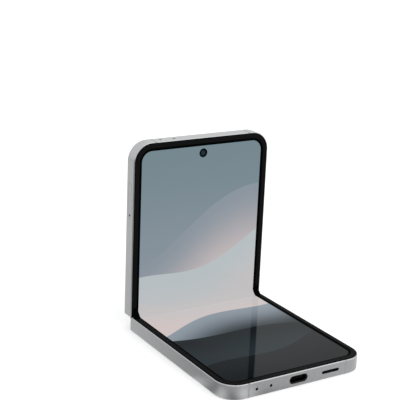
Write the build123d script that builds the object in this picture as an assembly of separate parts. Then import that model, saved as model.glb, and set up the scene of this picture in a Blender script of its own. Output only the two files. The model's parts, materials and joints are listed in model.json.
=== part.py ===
from build123d import *
import math
import os

# Flip phone with a two-axis hinge, stored half folded: the lower half lies on its back and the
# upper half stands up behind it.  Millimetres.  Every piece is drawn for the phone opened flat:
# X across the phone, Y along it with the fold at Y = 0 (lower half towards -Y), Z from the back
# (Z = 0) to the front (display).  "v" is the distance from the fold, whichever the half.
# The placed model has its origin in the middle of the lower half's back, where the phone rests.

# ---- Whole phone ---------------------------------------------------------------------------------
WIDTH = 71.9
HALF_LENGTH = 82.55
THICKNESS = 6.9
CORNER_RADIUS = 9.0
REST_FOLD = 90.0            # degrees between the opened and the stored phone

# ---- Fold: two axes along X, one for each half ---------------------------------------------------
CLOSED_GAP = 1.1            # between the front faces of the closed phone
AXIS_DROP = 1.5             # axes below the front face
END_GAP = 0.25              # each half stops this far from the fold's middle plane
LIP_THICKNESS = 0.65        # metal of a half that covers the spine from behind
SPINE_GAP = 0.15            # running clearance between the spine and the halves
SPINE_WALL = 0.5
SPINE_SIDE_DROP = 0.8       # the spine's sides end this far below the axes
BAY_WALL = 0.6              # least wall between the spine's bay and a half's compartment
SEAL_GAP = 0.05             # round the rubber seals at the spine's ends
SEAL_SIDE_GAP = 0.1         # between a seal's head and the faces of the closed halves
SEAL_DEPTH = 1.4            # a seal's stem below the axes
SEAL_DROP = 0.1             # a seal's head below the display's face
SEAL_INSET = 0.2            # from the phone's side

# ---- Metal frames --------------------------------------------------------------------------------
SIDE_WALL = 1.9
FRAME_BACK_STEP = 0.1       # back glass stands this far behind the metal
FRAME_FRONT_STEP = 0.3      # bezel stands this far in front of the metal
EDGE_ROUND = 0.45
MIDPLATE_THICKNESS = 1.0
BOSS_RADIUS = 1.1
BOSS_HEIGHT = 0.2

# ---- Back glasses --------------------------------------------------------------------------------
GLASS_INSET = 0.95
GLASS_THICKNESS = 0.5
GLASS_START = 3.4           # v of the glass's edge at the fold
FIT_GAP = 0.05              # clearance round pieces that are set into others

# ---- Display stack and bezel ---------------------------------------------------------------------
BEZEL_INSET = 0.35
BEZEL_WALL = 1.0
BEZEL_WIDTH = 2.5
DISPLAY_RECESS = 0.4        # display face below the bezel's face
DISPLAY_THICKNESS = 0.3
SUPPORT_THICKNESS = 0.2
BEND_ZONE = 4.4             # v up to which the display bends
FOLD_SAG = 0.04             # middle of the display below its flat height, stored pose
FLAT_START = 7.6            # v where the rigid part of the display begins
FLEX_LAP = 0.1

# ---- Hinge modules: bearing plates, gears, arms and spring washers along X -----------------------
MODULE_END_GAP = 2.9        # between a module and the end of the spine cover
PLATE_WIDTH = 0.8
GEAR_WIDTH = 2.0
ARM_WIDTH = 3.0
WASHER_COUNT = 5
WASHER_THICKNESS = 0.5
WASHER_SPACING = 0.1
SIDE_PLAY = 0.05
SHAFT_TEETH = 10
IDLER_TEETH = 14
TOOTH_ROOT_SHARE = 0.52     # tooth width at root and tip, of one pitch
TOOTH_TIP_SHARE = 0.22
TRAIN_SLOPE = 33.0          # degrees: idlers lie this far below the line of the shafts
BORE_GAP = 0.03
FIXED_GAP = 0.01
EYE_WALL = 0.3
ROOT_STEP = 0.03            # gear's root circle above its shaft
IDLER_PIN_RADIUS = 0.3
HOUSING_BASE = 0.9
CENTRE_PLATE_HALF = 0.6
CENTRE_PLATE_THICKNESS = 0.12
DISPLAY_CLEARANCE = 0.08
ARM_DEPTH = 1.0
WING_THICKNESS = 0.5
WING_END = 14.5             # v of a wing's far edge
WING_SCREW_V = 11.5
WING_SCREW_SPACING = 7.0

# ---- Small screws --------------------------------------------------------------------------------
SCREW_RADIUS = 0.5
SCREW_HEAD_RADIUS = 0.9
COVER_SKIN = 0.15           # metal left behind a screw hole of the spine cover
WING_HEAD = 0.25
BOARD_HEAD = 0.4
BOARD_SCREW_DEPTH = 0.5     # thread above the midplate's underside

# ---- Inside the halves ---------------------------------------------------------------------------
BATTERY_SIDE_GAP = 5.95     # from the phone's side
BATTERY_BOARD_GAP = 1.5
BATTERY_START = 16.0
BATTERY_ROUND = 1.0
BATTERY_TOP_GAP = 0.3       # below the midplate, for the cable
LOWER_BATTERY_BACK = 1.0
UPPER_BATTERY_BACK = 1.3
BOARD_THICKNESS = 0.8
BOARD_MARGIN = 0.4          # board to frame wall
SUB_BOARD_DROP = 24.05      # near edge of a board, from the end of the half
MAIN_BOARD_DROP = 37.05
CABLE_THICKNESS = 0.12
CABLE_HALF_WIDTH = 4.0
CABLE_DROP = 0.2            # cable's middle below the midplate's underside
CABLE_BEND = 3.0
CABLE_SLOT = 0.36
CABLE_SPLICE_V = 9.0
COIL_OUTER = 22.0
COIL_INNER = 11.0
COIL_THICKNESS = 0.4
COIL_V = 37.0

# ---- Bottom end ----------------------------------------------------------------------------------
USB_WIDTH = 8.94
USB_HEIGHT = 3.2
USB_DEPTH = 7.3
USB_WALL = 0.25
USB_BASE = 1.0
USB_RECESS = 0.4            # shell's mouth below the end face
USB_CLEARANCE = 0.2         # between the shell and its opening in the frame
TONGUE_WIDTH = 6.7
TONGUE_THICKNESS = 0.7
TONGUE_LENGTH = 5.6
SPEAKER_SLOT_INSET = 19.15  # from the phone's side
SPEAKER_SLOT_LENGTH = 9.1
SPEAKER_SLOT_HEIGHT = 1.4
MESH_THICKNESS = 0.15
MESH_COLUMNS = 9
MESH_HOLE_RADIUS = 0.22
MESH_DEPTH = 0.7            # mesh below the end face
SPEAKER_WIDTH = 16.0
SPEAKER_ROUND = 0.8
SPEAKER_LENGTH = 13.0
SPEAKER_HEIGHT = 2.6
MOTOR_INSET = 14.95
MOTOR_DROP = 16.55
MOTOR_RADIUS = 4.4
MOTOR_HEIGHT = 2.8
MIC_INSETS = (14.85, 21.95)
MIC_HOLE_RADIUS = 0.65
MIC_SIZE = 3.2
MIC_HEIGHT = 1.1
MIC_DEPTH = 2.2
BOARD_SCREW_INSET = 6.95
BREAK_INSET = 10.95
BREAK_WIDTH = 1.1
BREAK_DEPTH = 0.6

# ---- Upper half: cameras, cover display, card tray, keys -----------------------------------------
CAMERA_INSETS = (10.15, 23.7)   # camera centres from the phone's side
CAMERA_DROP = 10.6          # camera centres below the top end
RING_OUTER = 6.1
RING_INNER = 5.05
RING_LEDGE = 4.5
RING_PROUD = 1.0
RING_CHAMFER = 0.3
RING_FLANGE = 6.5
RING_FLANGE_THICKNESS = 0.3
LENS_RECESS = 0.25
LENS_THICKNESS = 0.5
CAMERA_BODY = 10.6
CAMERA_BODY_ROUND = 1.0
CAMERA_BARREL = 4.4
FLASH_INSET = 35.05
FLASH_DROP = 10.8
FLASH_RADIUS = 1.8
FLASH_DEPTH = 1.2
SELFIE_DROP = 7.4
SELFIE_HOLE = 1.85
SELFIE_BARREL = 1.6
SELFIE_BODY = 5.6
SELFIE_BODY_DEPTH = 2.3
SELFIE_RECESS = 0.15
COVER_DISPLAY_INSET = 4.55
COVER_DISPLAY_START = 7.55      # v of its lower edge
COVER_DISPLAY_TOP_CAMERA = 20.1     # below the top end
COVER_DISPLAY_TOP_OTHER = 14.9
COVER_DISPLAY_STEP = (31.95, 40.95)     # from the phone's side
COVER_DISPLAY_ROUND = 3.5
COVER_DISPLAY_THICKNESS = 0.6
EARPIECE_LENGTH = 12.0
EARPIECE_WIDTH = 2.0
EARPIECE_HEIGHT = 2.3
EARPIECE_SLIT = 9.0
EARPIECE_SLIT_WIDTH = 0.3
TRAY_BOTTOM_DROP = 35.55
TRAY_LENGTH = 16.8
TRAY_FACE_HEIGHT = 2.6
TRAY_PLATE_THICKNESS = 0.8
TRAY_PLATE_DEPTH = 12.5
TRAY_PLATE_MARGIN = 0.9
TRAY_GAP = 0.1
EJECT_HOLE_RADIUS = 0.55
EJECT_HOLE_FROM_END = 1.8
SOCKET_SHEET = 0.2
SOCKET_GAP = 0.1
KEY_HEIGHT = 2.4
KEY_PROUD = 0.35
KEY_TRAVEL = 0.3
KEY_GAP = 0.08
KEY_ROUND = 0.2
KEY_FLANGE = 0.5            # lip that keeps a key in the frame, thickness and overhang
POWER_KEY = (49.5, 63.9)    # below the top end
VOLUME_KEY = (23.5, 42.5)
SWITCH_LENGTH = 5.0
SWITCH_THICKNESS = 0.9
SHIELD_SHEET = 0.2
SHIELD_HEIGHT = 1.4
SHIELD_MARGIN = 2.0         # between the processor and the can, all round
PROCESSOR_SIZE = 12.0
PROCESSOR_DROP = 26.35
PROCESSOR_HEIGHT = 0.9

# ---- Worked out from the sizes above -------------------------------------------------------------
AXIS_Y = AXIS_DROP + CLOSED_GAP / 2
AXIS_Z = THICKNESS - AXIS_DROP
HALF_ANGLE = REST_FOLD / 2
FOLD_Y = HALF_LENGTH / 2                      # of the placed model
METAL_BACK = FRAME_BACK_STEP
METAL_FRONT = THICKNESS - FRAME_FRONT_STEP
RAIL_MID_Z = (METAL_BACK + METAL_FRONT) / 2
DISPLAY_TOP = THICKNESS - DISPLAY_RECESS
DISPLAY_BOTTOM = DISPLAY_TOP - DISPLAY_THICKNESS
MIDPLATE_TOP = DISPLAY_BOTTOM - SUPPORT_THICKNESS
MIDPLATE_BOTTOM = MIDPLATE_TOP - MIDPLATE_THICKNESS
BAY_RADIUS = AXIS_Z - LIP_THICKNESS
SPINE_RADIUS = BAY_RADIUS - SPINE_GAP
SPINE_BACK = AXIS_Z - SPINE_RADIUS
SPINE_FLOOR = SPINE_BACK + SPINE_WALL
SPINE_TOP = AXIS_Z - SPINE_SIDE_DROP
BAY_HALF = WIDTH / 2 - SIDE_WALL
SPINE_HALF = BAY_HALF - SPINE_GAP
BATTERY_HALF_WIDTH = WIDTH / 2 - BATTERY_SIDE_GAP
SUB_BOARD_START = HALF_LENGTH - SUB_BOARD_DROP
MAIN_BOARD_START = HALF_LENGTH - MAIN_BOARD_DROP
LOWER_BATTERY_END = SUB_BOARD_START - BATTERY_BOARD_GAP
UPPER_BATTERY_END = MAIN_BOARD_START - BATTERY_BOARD_GAP
BOARD_SCREW_FAR_X = WIDTH / 2 - BOARD_SCREW_INSET
BREAK_X = WIDTH / 2 - BREAK_INSET
SPEAKER_SLOT_X = WIDTH / 2 - SPEAKER_SLOT_INSET
MOTOR_X = MOTOR_INSET - WIDTH / 2
MOTOR_V = HALF_LENGTH - MOTOR_DROP
MIC_XS = tuple(inset - WIDTH / 2 for inset in MIC_INSETS)
BAY_END = AXIS_Y + BAY_RADIUS
COMPARTMENT_START = BAY_END + BAY_WALL
COMPARTMENT_END = HALF_LENGTH - SIDE_WALL
RAIL_END_RADIUS = AXIS_Y - END_GAP
DISPLAY_INSET = BEZEL_INSET + BEZEL_WALL + FLEX_LAP
BATTERY_TOP = MIDPLATE_BOTTOM - BATTERY_TOP_GAP
BOARD_TOP = MIDPLATE_BOTTOM - BOSS_HEIGHT
BOARD_BACK = BOARD_TOP - BOARD_THICKNESS
CABLE_Z = MIDPLATE_BOTTOM - CABLE_DROP
TRAIN_COS = math.cos(math.radians(TRAIN_SLOPE))
GEAR_MODULE = 2 * AXIS_Y / (IDLER_TEETH + (SHAFT_TEETH + IDLER_TEETH) * TRAIN_COS)
SHAFT_PITCH_RADIUS = GEAR_MODULE * SHAFT_TEETH / 2
IDLER_PITCH_RADIUS = GEAR_MODULE * IDLER_TEETH / 2
TOOTH_OUT = GEAR_MODULE
TOOTH_IN = 1.25 * GEAR_MODULE
SHAFT_RADIUS = SHAFT_PITCH_RADIUS - TOOTH_IN - ROOT_STEP
EYE_RADIUS = SHAFT_RADIUS + EYE_WALL
SCREW_HOLE_RADIUS = SCREW_RADIUS + FIXED_GAP
IDLER_Y = IDLER_PITCH_RADIUS
IDLER_Z = AXIS_Z - (SHAFT_PITCH_RADIUS + IDLER_PITCH_RADIUS) * math.sin(math.radians(TRAIN_SLOPE))
CENTRE_PLATE_TOP = DISPLAY_BOTTOM - DISPLAY_CLEARANCE
HOUSING_TOP = CENTRE_PLATE_TOP - CENTRE_PLATE_THICKNESS
WING_TOP = MIDPLATE_TOP - FIT_GAP
WING_BOTTOM = WING_TOP - WING_THICKNESS
ARM_BOTTOM = AXIS_Z - ARM_DEPTH / 2
CAMERA_V = HALF_LENGTH - CAMERA_DROP
CAMERA_XS = tuple(WIDTH / 2 - inset for inset in CAMERA_INSETS)
FLASH_X = WIDTH / 2 - FLASH_INSET
FLASH_V = HALF_LENGTH - FLASH_DROP
SELFIE_V = HALF_LENGTH - SELFIE_DROP
LENS_SEAT = -RING_PROUD + LENS_RECESS + LENS_THICKNESS
PROCESSOR_V = HALF_LENGTH - PROCESSOR_DROP
TRAY_BOTTOM_V = HALF_LENGTH - TRAY_BOTTOM_DROP
TRAY_TOP_V = TRAY_BOTTOM_V + TRAY_LENGTH
COVER_DISPLAY_BACK = GLASS_THICKNESS

# Places along X of one hinge module, from its inner end outwards.
WASHER_PITCH = WASHER_THICKNESS + WASHER_SPACING
WASHER_ROOM = WASHER_COUNT * WASHER_PITCH + 2 * SIDE_PLAY
MODULE_LENGTH = 4 * PLATE_WIDTH + GEAR_WIDTH + ARM_WIDTH + 4 * SIDE_PLAY + WASHER_ROOM
MODULE_INNER_END = SPINE_HALF - MODULE_END_GAP - MODULE_LENGTH
GEAR_BAY = (MODULE_INNER_END + PLATE_WIDTH, MODULE_INNER_END + PLATE_WIDTH + GEAR_WIDTH + 2 * SIDE_PLAY)
ARM_BAY = (GEAR_BAY[1] + PLATE_WIDTH, GEAR_BAY[1] + PLATE_WIDTH + ARM_WIDTH + 2 * SIDE_PLAY)
WASHER_BAY = (ARM_BAY[1] + PLATE_WIDTH, ARM_BAY[1] + PLATE_WIDTH + WASHER_ROOM)
MODULE_OUTER_END = WASHER_BAY[1] + PLATE_WIDTH
MODULE_MIDDLE = (MODULE_INNER_END + MODULE_OUTER_END) / 2
LEFT, RIGHT = -1, 1
LOWER, UPPER = -1, 1


# ---- Building blocks -----------------------------------------------------------------------------
def slab(x0, x1, y0, y1, z0, z1):
    """Box between two values on each axis, given in either order."""
    size = (abs(x1 - x0), abs(y1 - y0), abs(z1 - z0))
    return Pos((x0 + x1) / 2, (y0 + y1) / 2, (z0 + z1) / 2) * Box(*size)


def rod_x(radius, x0, x1, y, z):
    """Round rod along X."""
    return Pos((x0 + x1) / 2, y, z) * Rot(0, 90, 0) * Cylinder(radius, abs(x1 - x0))


def rod_y(radius, x, y0, y1, z):
    """Round rod along Y."""
    return Pos(x, (y0 + y1) / 2, z) * Rot(90, 0, 0) * Cylinder(radius, abs(y1 - y0))


def rod_z(radius, x, y, z0, z1):
    """Round rod along Z."""
    return Pos(x, y, (z0 + z1) / 2) * Cylinder(radius, abs(z1 - z0))


def half_plate(side, inset, start, z0, z1):
    """Plate with the plan of one half, set in from its edge: square at the fold, round beyond."""
    end = HALF_LENGTH - inset
    plan = Pos(0, side * (start + end) / 2) * Rectangle(WIDTH - 2 * inset, end - start)
    far_corners = plan.vertices().sort_by(Axis.Y)[-2:] if side > 0 else plan.vertices().sort_by(Axis.Y)[:2]
    plan = fillet(far_corners, CORNER_RADIUS - inset)
    return Pos(0, 0, z0) * extrude(plan, z1 - z0)


def stadium_end(side, x, z, length, height, v0, v1):
    """Slot shape with round ends along X, passing through an end wall along Y."""
    shape = Plane.XZ * SlotOverall(length, height)
    return Pos(x, side * (v0 + v1) / 2, z) * extrude(shape, abs(v1 - v0) / 2, both=True)


def stadium_side(x0, x1, v0, v1, z, height):
    """Slot shape with round ends along Y, passing through a side wall along X."""
    shape = Plane.YZ * SlotOverall(v1 - v0, height)
    return Pos((x0 + x1) / 2, (v0 + v1) / 2, z) * extrude(shape, abs(x1 - x0) / 2, both=True)


def group(pieces):
    """Several separate solids that share one node."""
    return Compound([solid for piece in pieces for solid in piece.solids()])


def both_modules(draw, side):
    """A piece in the right-hand hinge module and in the left-hand one, which is turned half round."""
    return [draw(side), Rot(0, 0, 180) * draw(-side)]


# ---- Frames --------------------------------------------------------------------------------------
def frame_block(side):
    """Outer form of a half's metal frame, its back and front edges rounded."""
    block = half_plate(side, 0, END_GAP, METAL_BACK, METAL_FRONT)
    faces = block.faces().sort_by(Axis.Z)
    return fillet(faces[0].edges() + faces[-1].edges(), EDGE_ROUND)


def rail_end_cut(side):
    """What is taken off above the axis at the fold, so that the halves roll past each other."""
    corner = slab(-WIDTH, WIDTH, -side, side * AXIS_Y, AXIS_Z, THICKNESS + 1)
    return corner - rod_x(RAIL_END_RADIUS, -WIDTH, WIDTH, side * AXIS_Y, AXIS_Z)


def spine_bay(side):
    """Space of a half in which the spine turns and the display bends."""
    low = AXIS_Z - BAY_RADIUS
    turn = rod_x(BAY_RADIUS, -BAY_HALF, BAY_HALF, side * AXIS_Y, AXIS_Z)
    middle = slab(-BAY_HALF, BAY_HALF, -side, side * AXIS_Y, low, THICKNESS + 1)
    above = slab(-BAY_HALF, BAY_HALF, -side, side * BAY_END, AXIS_Z, THICKNESS + 1)
    return turn + middle + above


def wing_pockets(side):
    """Pockets of the two hinge wings in the front of the midplate, with their screw holes."""
    cuts = []
    for hand in (LEFT, RIGHT):
        inner = hand * (MODULE_INNER_END - FIT_GAP)
        outer = hand * (MODULE_OUTER_END + FIT_GAP)
        near, far = side * (BAY_END - 1), side * (WING_END + FIT_GAP)
        cuts.append(slab(inner, outer, near, far, WING_BOTTOM, THICKNESS))
        for x in wing_screw_xs(hand):
            cuts.append(rod_z(SCREW_HOLE_RADIUS, x, side * WING_SCREW_V, MIDPLATE_BOTTOM - 1, THICKNESS))
    return cuts


def wing_screw_xs(hand):
    return [hand * MODULE_MIDDLE + step * WING_SCREW_SPACING / 2 for step in (-1, 1)]


def board_screw_places(side):
    """X and v of the four screws of the board in one half."""
    start = SUB_BOARD_START if side == LOWER else MAIN_BOARD_START
    near = start + 2 * SCREW_HEAD_RADIUS
    far = COMPARTMENT_END - BOARD_MARGIN - 2 * SCREW_HEAD_RADIUS
    near_x = BATTERY_HALF_WIDTH if side == LOWER else BATTERY_HALF_WIDTH / 2
    return [(-near_x, near), (near_x, near), (-BOARD_SCREW_FAR_X, far), (BOARD_SCREW_FAR_X, far)]


def bosses(side):
    """Round pads under the midplate that carry a board."""
    top = MIDPLATE_BOTTOM + MIDPLATE_THICKNESS / 2
    return [rod_z(BOSS_RADIUS, x, side * v, BOARD_TOP, top) for x, v in board_screw_places(side)]


def board_screw_holes(side):
    top = MIDPLATE_BOTTOM + BOARD_SCREW_DEPTH + FIT_GAP
    return [rod_z(SCREW_HOLE_RADIUS, x, side * v, 0, top) for x, v in board_screw_places(side)]


def antenna_break_zone(side, hand):
    """Band across an end wall, as deep as the plastic that fills it."""
    x0 = hand * BREAK_X - BREAK_WIDTH / 2
    inner, outer = side * (HALF_LENGTH - BREAK_DEPTH), side * (HALF_LENGTH + 1)
    return slab(x0, x0 + BREAK_WIDTH, inner, outer, -1, THICKNESS)


def half_frame(side):
    """Metal frame of one half: rails, end wall, midplate, bay of the spine."""
    frame = frame_block(side)
    frame -= half_plate(side, SIDE_WALL, COMPARTMENT_START, -1, MIDPLATE_BOTTOM)
    frame -= half_plate(side, GLASS_INSET, GLASS_START, -1, GLASS_THICKNESS)
    frame -= half_plate(side, BEZEL_INSET, 0, MIDPLATE_TOP, THICKNESS + 1)
    frame -= spine_bay(side)
    frame -= rail_end_cut(side)
    frame -= cable_slot(side)
    frame += bosses(side)
    frame -= wing_pockets(side)
    frame -= board_screw_holes(side)
    for hand in (LEFT, RIGHT):
        frame -= antenna_break_zone(side, hand)
    return frame


def cable_slot(side):
    """Slot through the bay wall for the cable between the halves."""
    half = CABLE_HALF_WIDTH + CABLE_SLOT
    low = CABLE_Z - CABLE_SLOT / 2
    return slab(-half, half, side * (BAY_END - 1), side * (COMPARTMENT_START + 1), low, MIDPLATE_BOTTOM)


def antenna_breaks(side):
    """Plastic strips set into the end wall."""
    block = frame_block(side)
    rebate = half_plate(side, BEZEL_INSET, 0, MIDPLATE_TOP, THICKNESS + 1)
    strips = []
    for hand in (LEFT, RIGHT):
        strip = (block & antenna_break_zone(side, hand)) - rebate
        strips.extend(strip.solids())
    return group(strips)


# ---- Glass, bezel and display --------------------------------------------------------------------
def back_glass(side):
    return half_plate(side, GLASS_INSET + FIT_GAP, GLASS_START + FIT_GAP, 0, GLASS_THICKNESS)


def bezel(side):
    """Raised black rim round the display of one half, open and no higher than the metal at the fold."""
    wall = half_plate(side, BEZEL_INSET + FIT_GAP, END_GAP, MIDPLATE_TOP, THICKNESS)
    wall -= half_plate(side, BEZEL_INSET + BEZEL_WALL, 0, 0, THICKNESS + 1)
    lip_low = DISPLAY_TOP + FIT_GAP
    lip = half_plate(side, BEZEL_INSET + BEZEL_WALL / 2, BEND_ZONE, lip_low, THICKNESS)
    lip -= half_plate(side, BEZEL_INSET + BEZEL_WIDTH, 0, 0, THICKNESS + 1)
    low_end = slab(-WIDTH, WIDTH, -side, side * BEND_ZONE, METAL_FRONT, THICKNESS + 1)
    return wall + lip - low_end - rail_end_cut(side)


def display_sheet(side, z0, z1):
    return half_plate(side, DISPLAY_INSET, FLAT_START, z0, z1)


def fold_floor(height):
    """Where, in the spine's frame, faces at one height of the two halves would meet in the stored pose."""
    angle = math.radians(HALF_ANGLE)
    rise = height - AXIS_Z
    reach = (rise * math.sin(angle) - AXIS_Y) / math.cos(angle)
    return AXIS_Z + rise * math.cos(angle) + reach * math.sin(angle)


def display_bend():
    """Bend radius of the display's face that lets its middle sag by FOLD_SAG in the stored pose."""
    room = DISPLAY_TOP - FOLD_SAG - fold_floor(DISPLAY_TOP)
    return room / (1 / math.cos(math.radians(HALF_ANGLE)) - 1)


def bent_strip(low, high, bend, end, half_width):
    """Sheet that crosses the fold, drawn in the spine's frame for the stored pose.

    low and high are the sheet's faces in the half's own height, bend is the radius of the
    high face, end is v of the sheet's ends.
    """
    angle = math.radians(HALF_ANGLE)
    along = (math.cos(angle), math.sin(angle))

    def path(height, radius):
        rise = height - AXIS_Z
        far = end - AXIS_Y
        far_y = AXIS_Y - rise * along[1] + far * along[0]
        far_z = AXIS_Z + rise * along[0] + far * along[1]
        return FilletPolyline((-far_y, far_z), (0, fold_floor(height)), (far_y, far_z), radius=radius)

    front = path(high, bend)
    back = path(low, bend + high - low)
    outline = front + back + Line(front @ 0, back @ 0) + Line(front @ 1, back @ 1)
    return extrude(Plane.YZ * make_face(outline), half_width, both=True)


# ---- Spine and hinge modules ---------------------------------------------------------------------
def spine_area(radius, top):
    """Area of the spine's U form: two arcs about the axes and a flat back."""
    arcs = Sketch() + [Pos(side * AXIS_Y, AXIS_Z) * Circle(radius) for side in (LOWER, UPPER)]
    arcs += Pos(0, AXIS_Z - radius / 2) * Rectangle(2 * AXIS_Y, radius)
    keep_height = top - (AXIS_Z - radius)
    keep = Pos(0, top - keep_height / 2) * Rectangle(4 * (AXIS_Y + radius), keep_height)
    return arcs & keep


def spine_section(radius, top):
    return Plane.YZ * spine_area(radius, top)


def hinge_cover():
    """Spine cover: a U shell with closed ends."""
    outer = extrude(spine_section(SPINE_RADIUS, SPINE_TOP), SPINE_HALF, both=True)
    inner = spine_section(SPINE_RADIUS - SPINE_WALL, SPINE_TOP + 1)
    cover = outer - extrude(inner, SPINE_HALF - SPINE_WALL, both=True)
    for x in housing_screw_xs():
        cover -= rod_z(SCREW_HOLE_RADIUS, x, 0, SPINE_BACK + COVER_SKIN, AXIS_Z)
    return cover


def housing_screw_xs():
    """Screws in the middle of the arm bay and the washer bay of each module."""
    return [hand * sum(bay) / 2 for hand in (LEFT, RIGHT) for bay in (ARM_BAY, WASHER_BAY)]


def housing_section():
    """Section of a bearing plate: a block between the shafts with round ears about them."""
    height = AXIS_Z - SPINE_FLOOR
    section = Pos(0, SPINE_FLOOR + height / 2) * Rectangle(2 * (AXIS_Y + EYE_RADIUS), height)
    section += [Pos(side * AXIS_Y, AXIS_Z) * Circle(EYE_RADIUS) for side in (LOWER, UPPER)]
    tongue = HOUSING_TOP - SPINE_FLOOR
    section += Pos(0, SPINE_FLOOR + tongue / 2) * Rectangle(2 * CENTRE_PLATE_HALF, tongue)
    clear = Pos(0, -FIT_GAP) * spine_area(SPINE_RADIUS - SPINE_WALL - FIT_GAP, THICKNESS)
    return Plane.YZ * (section & clear)


def hinge_housing():
    """Right-hand housing: a base with four bearing plates, bored for the shafts and idlers."""
    plates = [
        (MODULE_INNER_END, GEAR_BAY[0]),
        (GEAR_BAY[1], ARM_BAY[0]),
        (ARM_BAY[1], WASHER_BAY[0]),
        (WASHER_BAY[1], MODULE_OUTER_END),
    ]
    section = housing_section()
    width = MODULE_OUTER_END - MODULE_INNER_END
    base = Pos(MODULE_INNER_END, 0, 0) * extrude(section, width)
    base -= slab(0, WIDTH, -THICKNESS, THICKNESS, SPINE_FLOOR + HOUSING_BASE, THICKNESS)
    for x0, x1 in plates:
        base += Pos(x0, 0, 0) * extrude(section, x1 - x0)
    x0, x1 = MODULE_INNER_END - 1, MODULE_OUTER_END + 1
    for side in (LOWER, UPPER):
        base -= rod_x(SHAFT_RADIUS + BORE_GAP, x0, x1, side * AXIS_Y, AXIS_Z)
        base -= rod_x(IDLER_PIN_RADIUS + BORE_GAP, x0, ARM_BAY[0], side * IDLER_Y, IDLER_Z)
    for x in housing_screw_xs():
        base -= rod_z(SCREW_HOLE_RADIUS, x, 0, 0, AXIS_Z)
    return base


def housing_screws():
    """Screws that hold the housings to the cover."""
    top = SPINE_FLOOR + HOUSING_BASE
    screws = []
    for x in housing_screw_xs():
        head = rod_z(SCREW_HEAD_RADIUS, x, 0, top, top + WING_HEAD)
        screws.append(head + rod_z(SCREW_RADIUS, x, 0, SPINE_BACK + COVER_SKIN + FIT_GAP, top))
    return group(screws)


def gear(teeth, pitch_radius, phase, width):
    """Straight-toothed gear along +X from X = 0; a tooth points at phase degrees from +Y to +Z."""
    root, tip = pitch_radius - TOOTH_IN, pitch_radius + TOOTH_OUT
    pitch = math.pi * GEAR_MODULE
    root_half, tip_half = TOOTH_ROOT_SHARE * pitch / 2, TOOTH_TIP_SHARE * pitch / 2
    base = root - TOOTH_IN / 2
    flank = [(base, root_half), (root, root_half), (tip, tip_half)]
    other = [(x, -y) for x, y in reversed(flank)]
    tooth = make_face(Polyline(*flank, *other, close=True))
    form = Sketch() + Circle(root)
    form += [Rot(0, 0, phase + step * 360 / teeth) * tooth for step in range(teeth)]
    return extrude(Plane.YZ * form, width)


def train_phases():
    """Tooth phases of lower shaft, lower idler, upper idler and upper shaft, in mesh."""
    shaft_pitch, idler_pitch = 360 / SHAFT_TEETH, 360 / IDLER_TEETH
    lower_shaft = -TRAIN_SLOPE
    lower_idler = 180 - TRAIN_SLOPE + idler_pitch / 2
    upper_idler = 180 - lower_idler + idler_pitch / 2
    upper_shaft = 180 - lower_shaft + shaft_pitch / 2
    return lower_shaft, lower_idler, upper_idler, upper_shaft


def hinge_shaft(side):
    """Shaft with its gear, right-hand module, drawn in the spine's frame for the stored pose."""
    lower_phase, _, _, upper_phase = train_phases()
    phase = lower_phase if side == LOWER else upper_phase
    shaft = rod_x(SHAFT_RADIUS, MODULE_INNER_END, MODULE_OUTER_END, 0, 0)
    shaft += Pos(GEAR_BAY[0] + SIDE_PLAY, 0, 0) * gear(SHAFT_TEETH, SHAFT_PITCH_RADIUS, phase, GEAR_WIDTH)
    return Pos(0, side * AXIS_Y, AXIS_Z) * shaft


def idler_gear(side):
    """Idler gear with its pins, right-hand module."""
    _, lower_phase, upper_phase, _ = train_phases()
    phase = lower_phase if side == LOWER else upper_phase
    idler = rod_x(IDLER_PIN_RADIUS, MODULE_INNER_END, ARM_BAY[0], 0, 0)
    idler += Pos(GEAR_BAY[0] + SIDE_PLAY, 0, 0) * gear(IDLER_TEETH, IDLER_PITCH_RADIUS, phase, GEAR_WIDTH)
    return Pos(0, side * IDLER_Y, IDLER_Z) * idler


def hinge_arm(side):
    """Arm from a shaft to its half, with the wing that is screwed to the midplate."""
    x0, x1 = ARM_BAY[0] + SIDE_PLAY, ARM_BAY[1] - SIDE_PLAY
    wing_start = BAY_END + SPINE_GAP
    arm = rod_x(EYE_RADIUS, x0, x1, side * AXIS_Y, AXIS_Z)
    arm += slab(x0, x1, side * AXIS_Y, side * (BAY_END - 2 * SPINE_GAP), ARM_BOTTOM, WING_TOP - FIT_GAP)
    arm += slab(x0, x1, side * (AXIS_Y + EYE_RADIUS), side * (wing_start + 1), WING_BOTTOM, WING_TOP)
    y0, y1 = side * wing_start, side * WING_END
    arm += slab(MODULE_INNER_END, MODULE_OUTER_END, y0, y1, WING_BOTTOM, WING_TOP)
    arm -= rod_x(SHAFT_RADIUS + FIXED_GAP, x0 - 1, x1 + 1, side * AXIS_Y, AXIS_Z)
    y = side * WING_SCREW_V
    for x in wing_screw_xs(RIGHT):
        arm -= rod_z(SCREW_HOLE_RADIUS, x, y, 0, THICKNESS)
        arm -= rod_z(SCREW_HEAD_RADIUS + FIXED_GAP, x, y, WING_TOP - WING_HEAD, THICKNESS)
    return arm


def wing_screws(side):
    screws = []
    for hand in (LEFT, RIGHT):
        for x in wing_screw_xs(hand):
            y = side * WING_SCREW_V
            shank = rod_z(SCREW_RADIUS, x, y, MIDPLATE_BOTTOM, WING_TOP - WING_HEAD)
            screws.append(shank + rod_z(SCREW_HEAD_RADIUS, x, y, WING_TOP - WING_HEAD, WING_TOP))
    return group(screws)


def washer(side, step):
    x = WASHER_BAY[0] + SIDE_PLAY + WASHER_SPACING / 2 + step * WASHER_PITCH
    ring = rod_x(EYE_RADIUS, x, x + WASHER_THICKNESS, side * AXIS_Y, AXIS_Z)
    return ring - rod_x(SHAFT_RADIUS + FIXED_GAP, x - 1, x + 2, side * AXIS_Y, AXIS_Z)


def spring_washers(side):
    """Stack of spring washers that brakes one shaft, in each module."""
    washers = []
    for step in range(WASHER_COUNT):
        washers.extend(both_modules(lambda half: washer(half, step), side))
    return group(washers)


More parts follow.
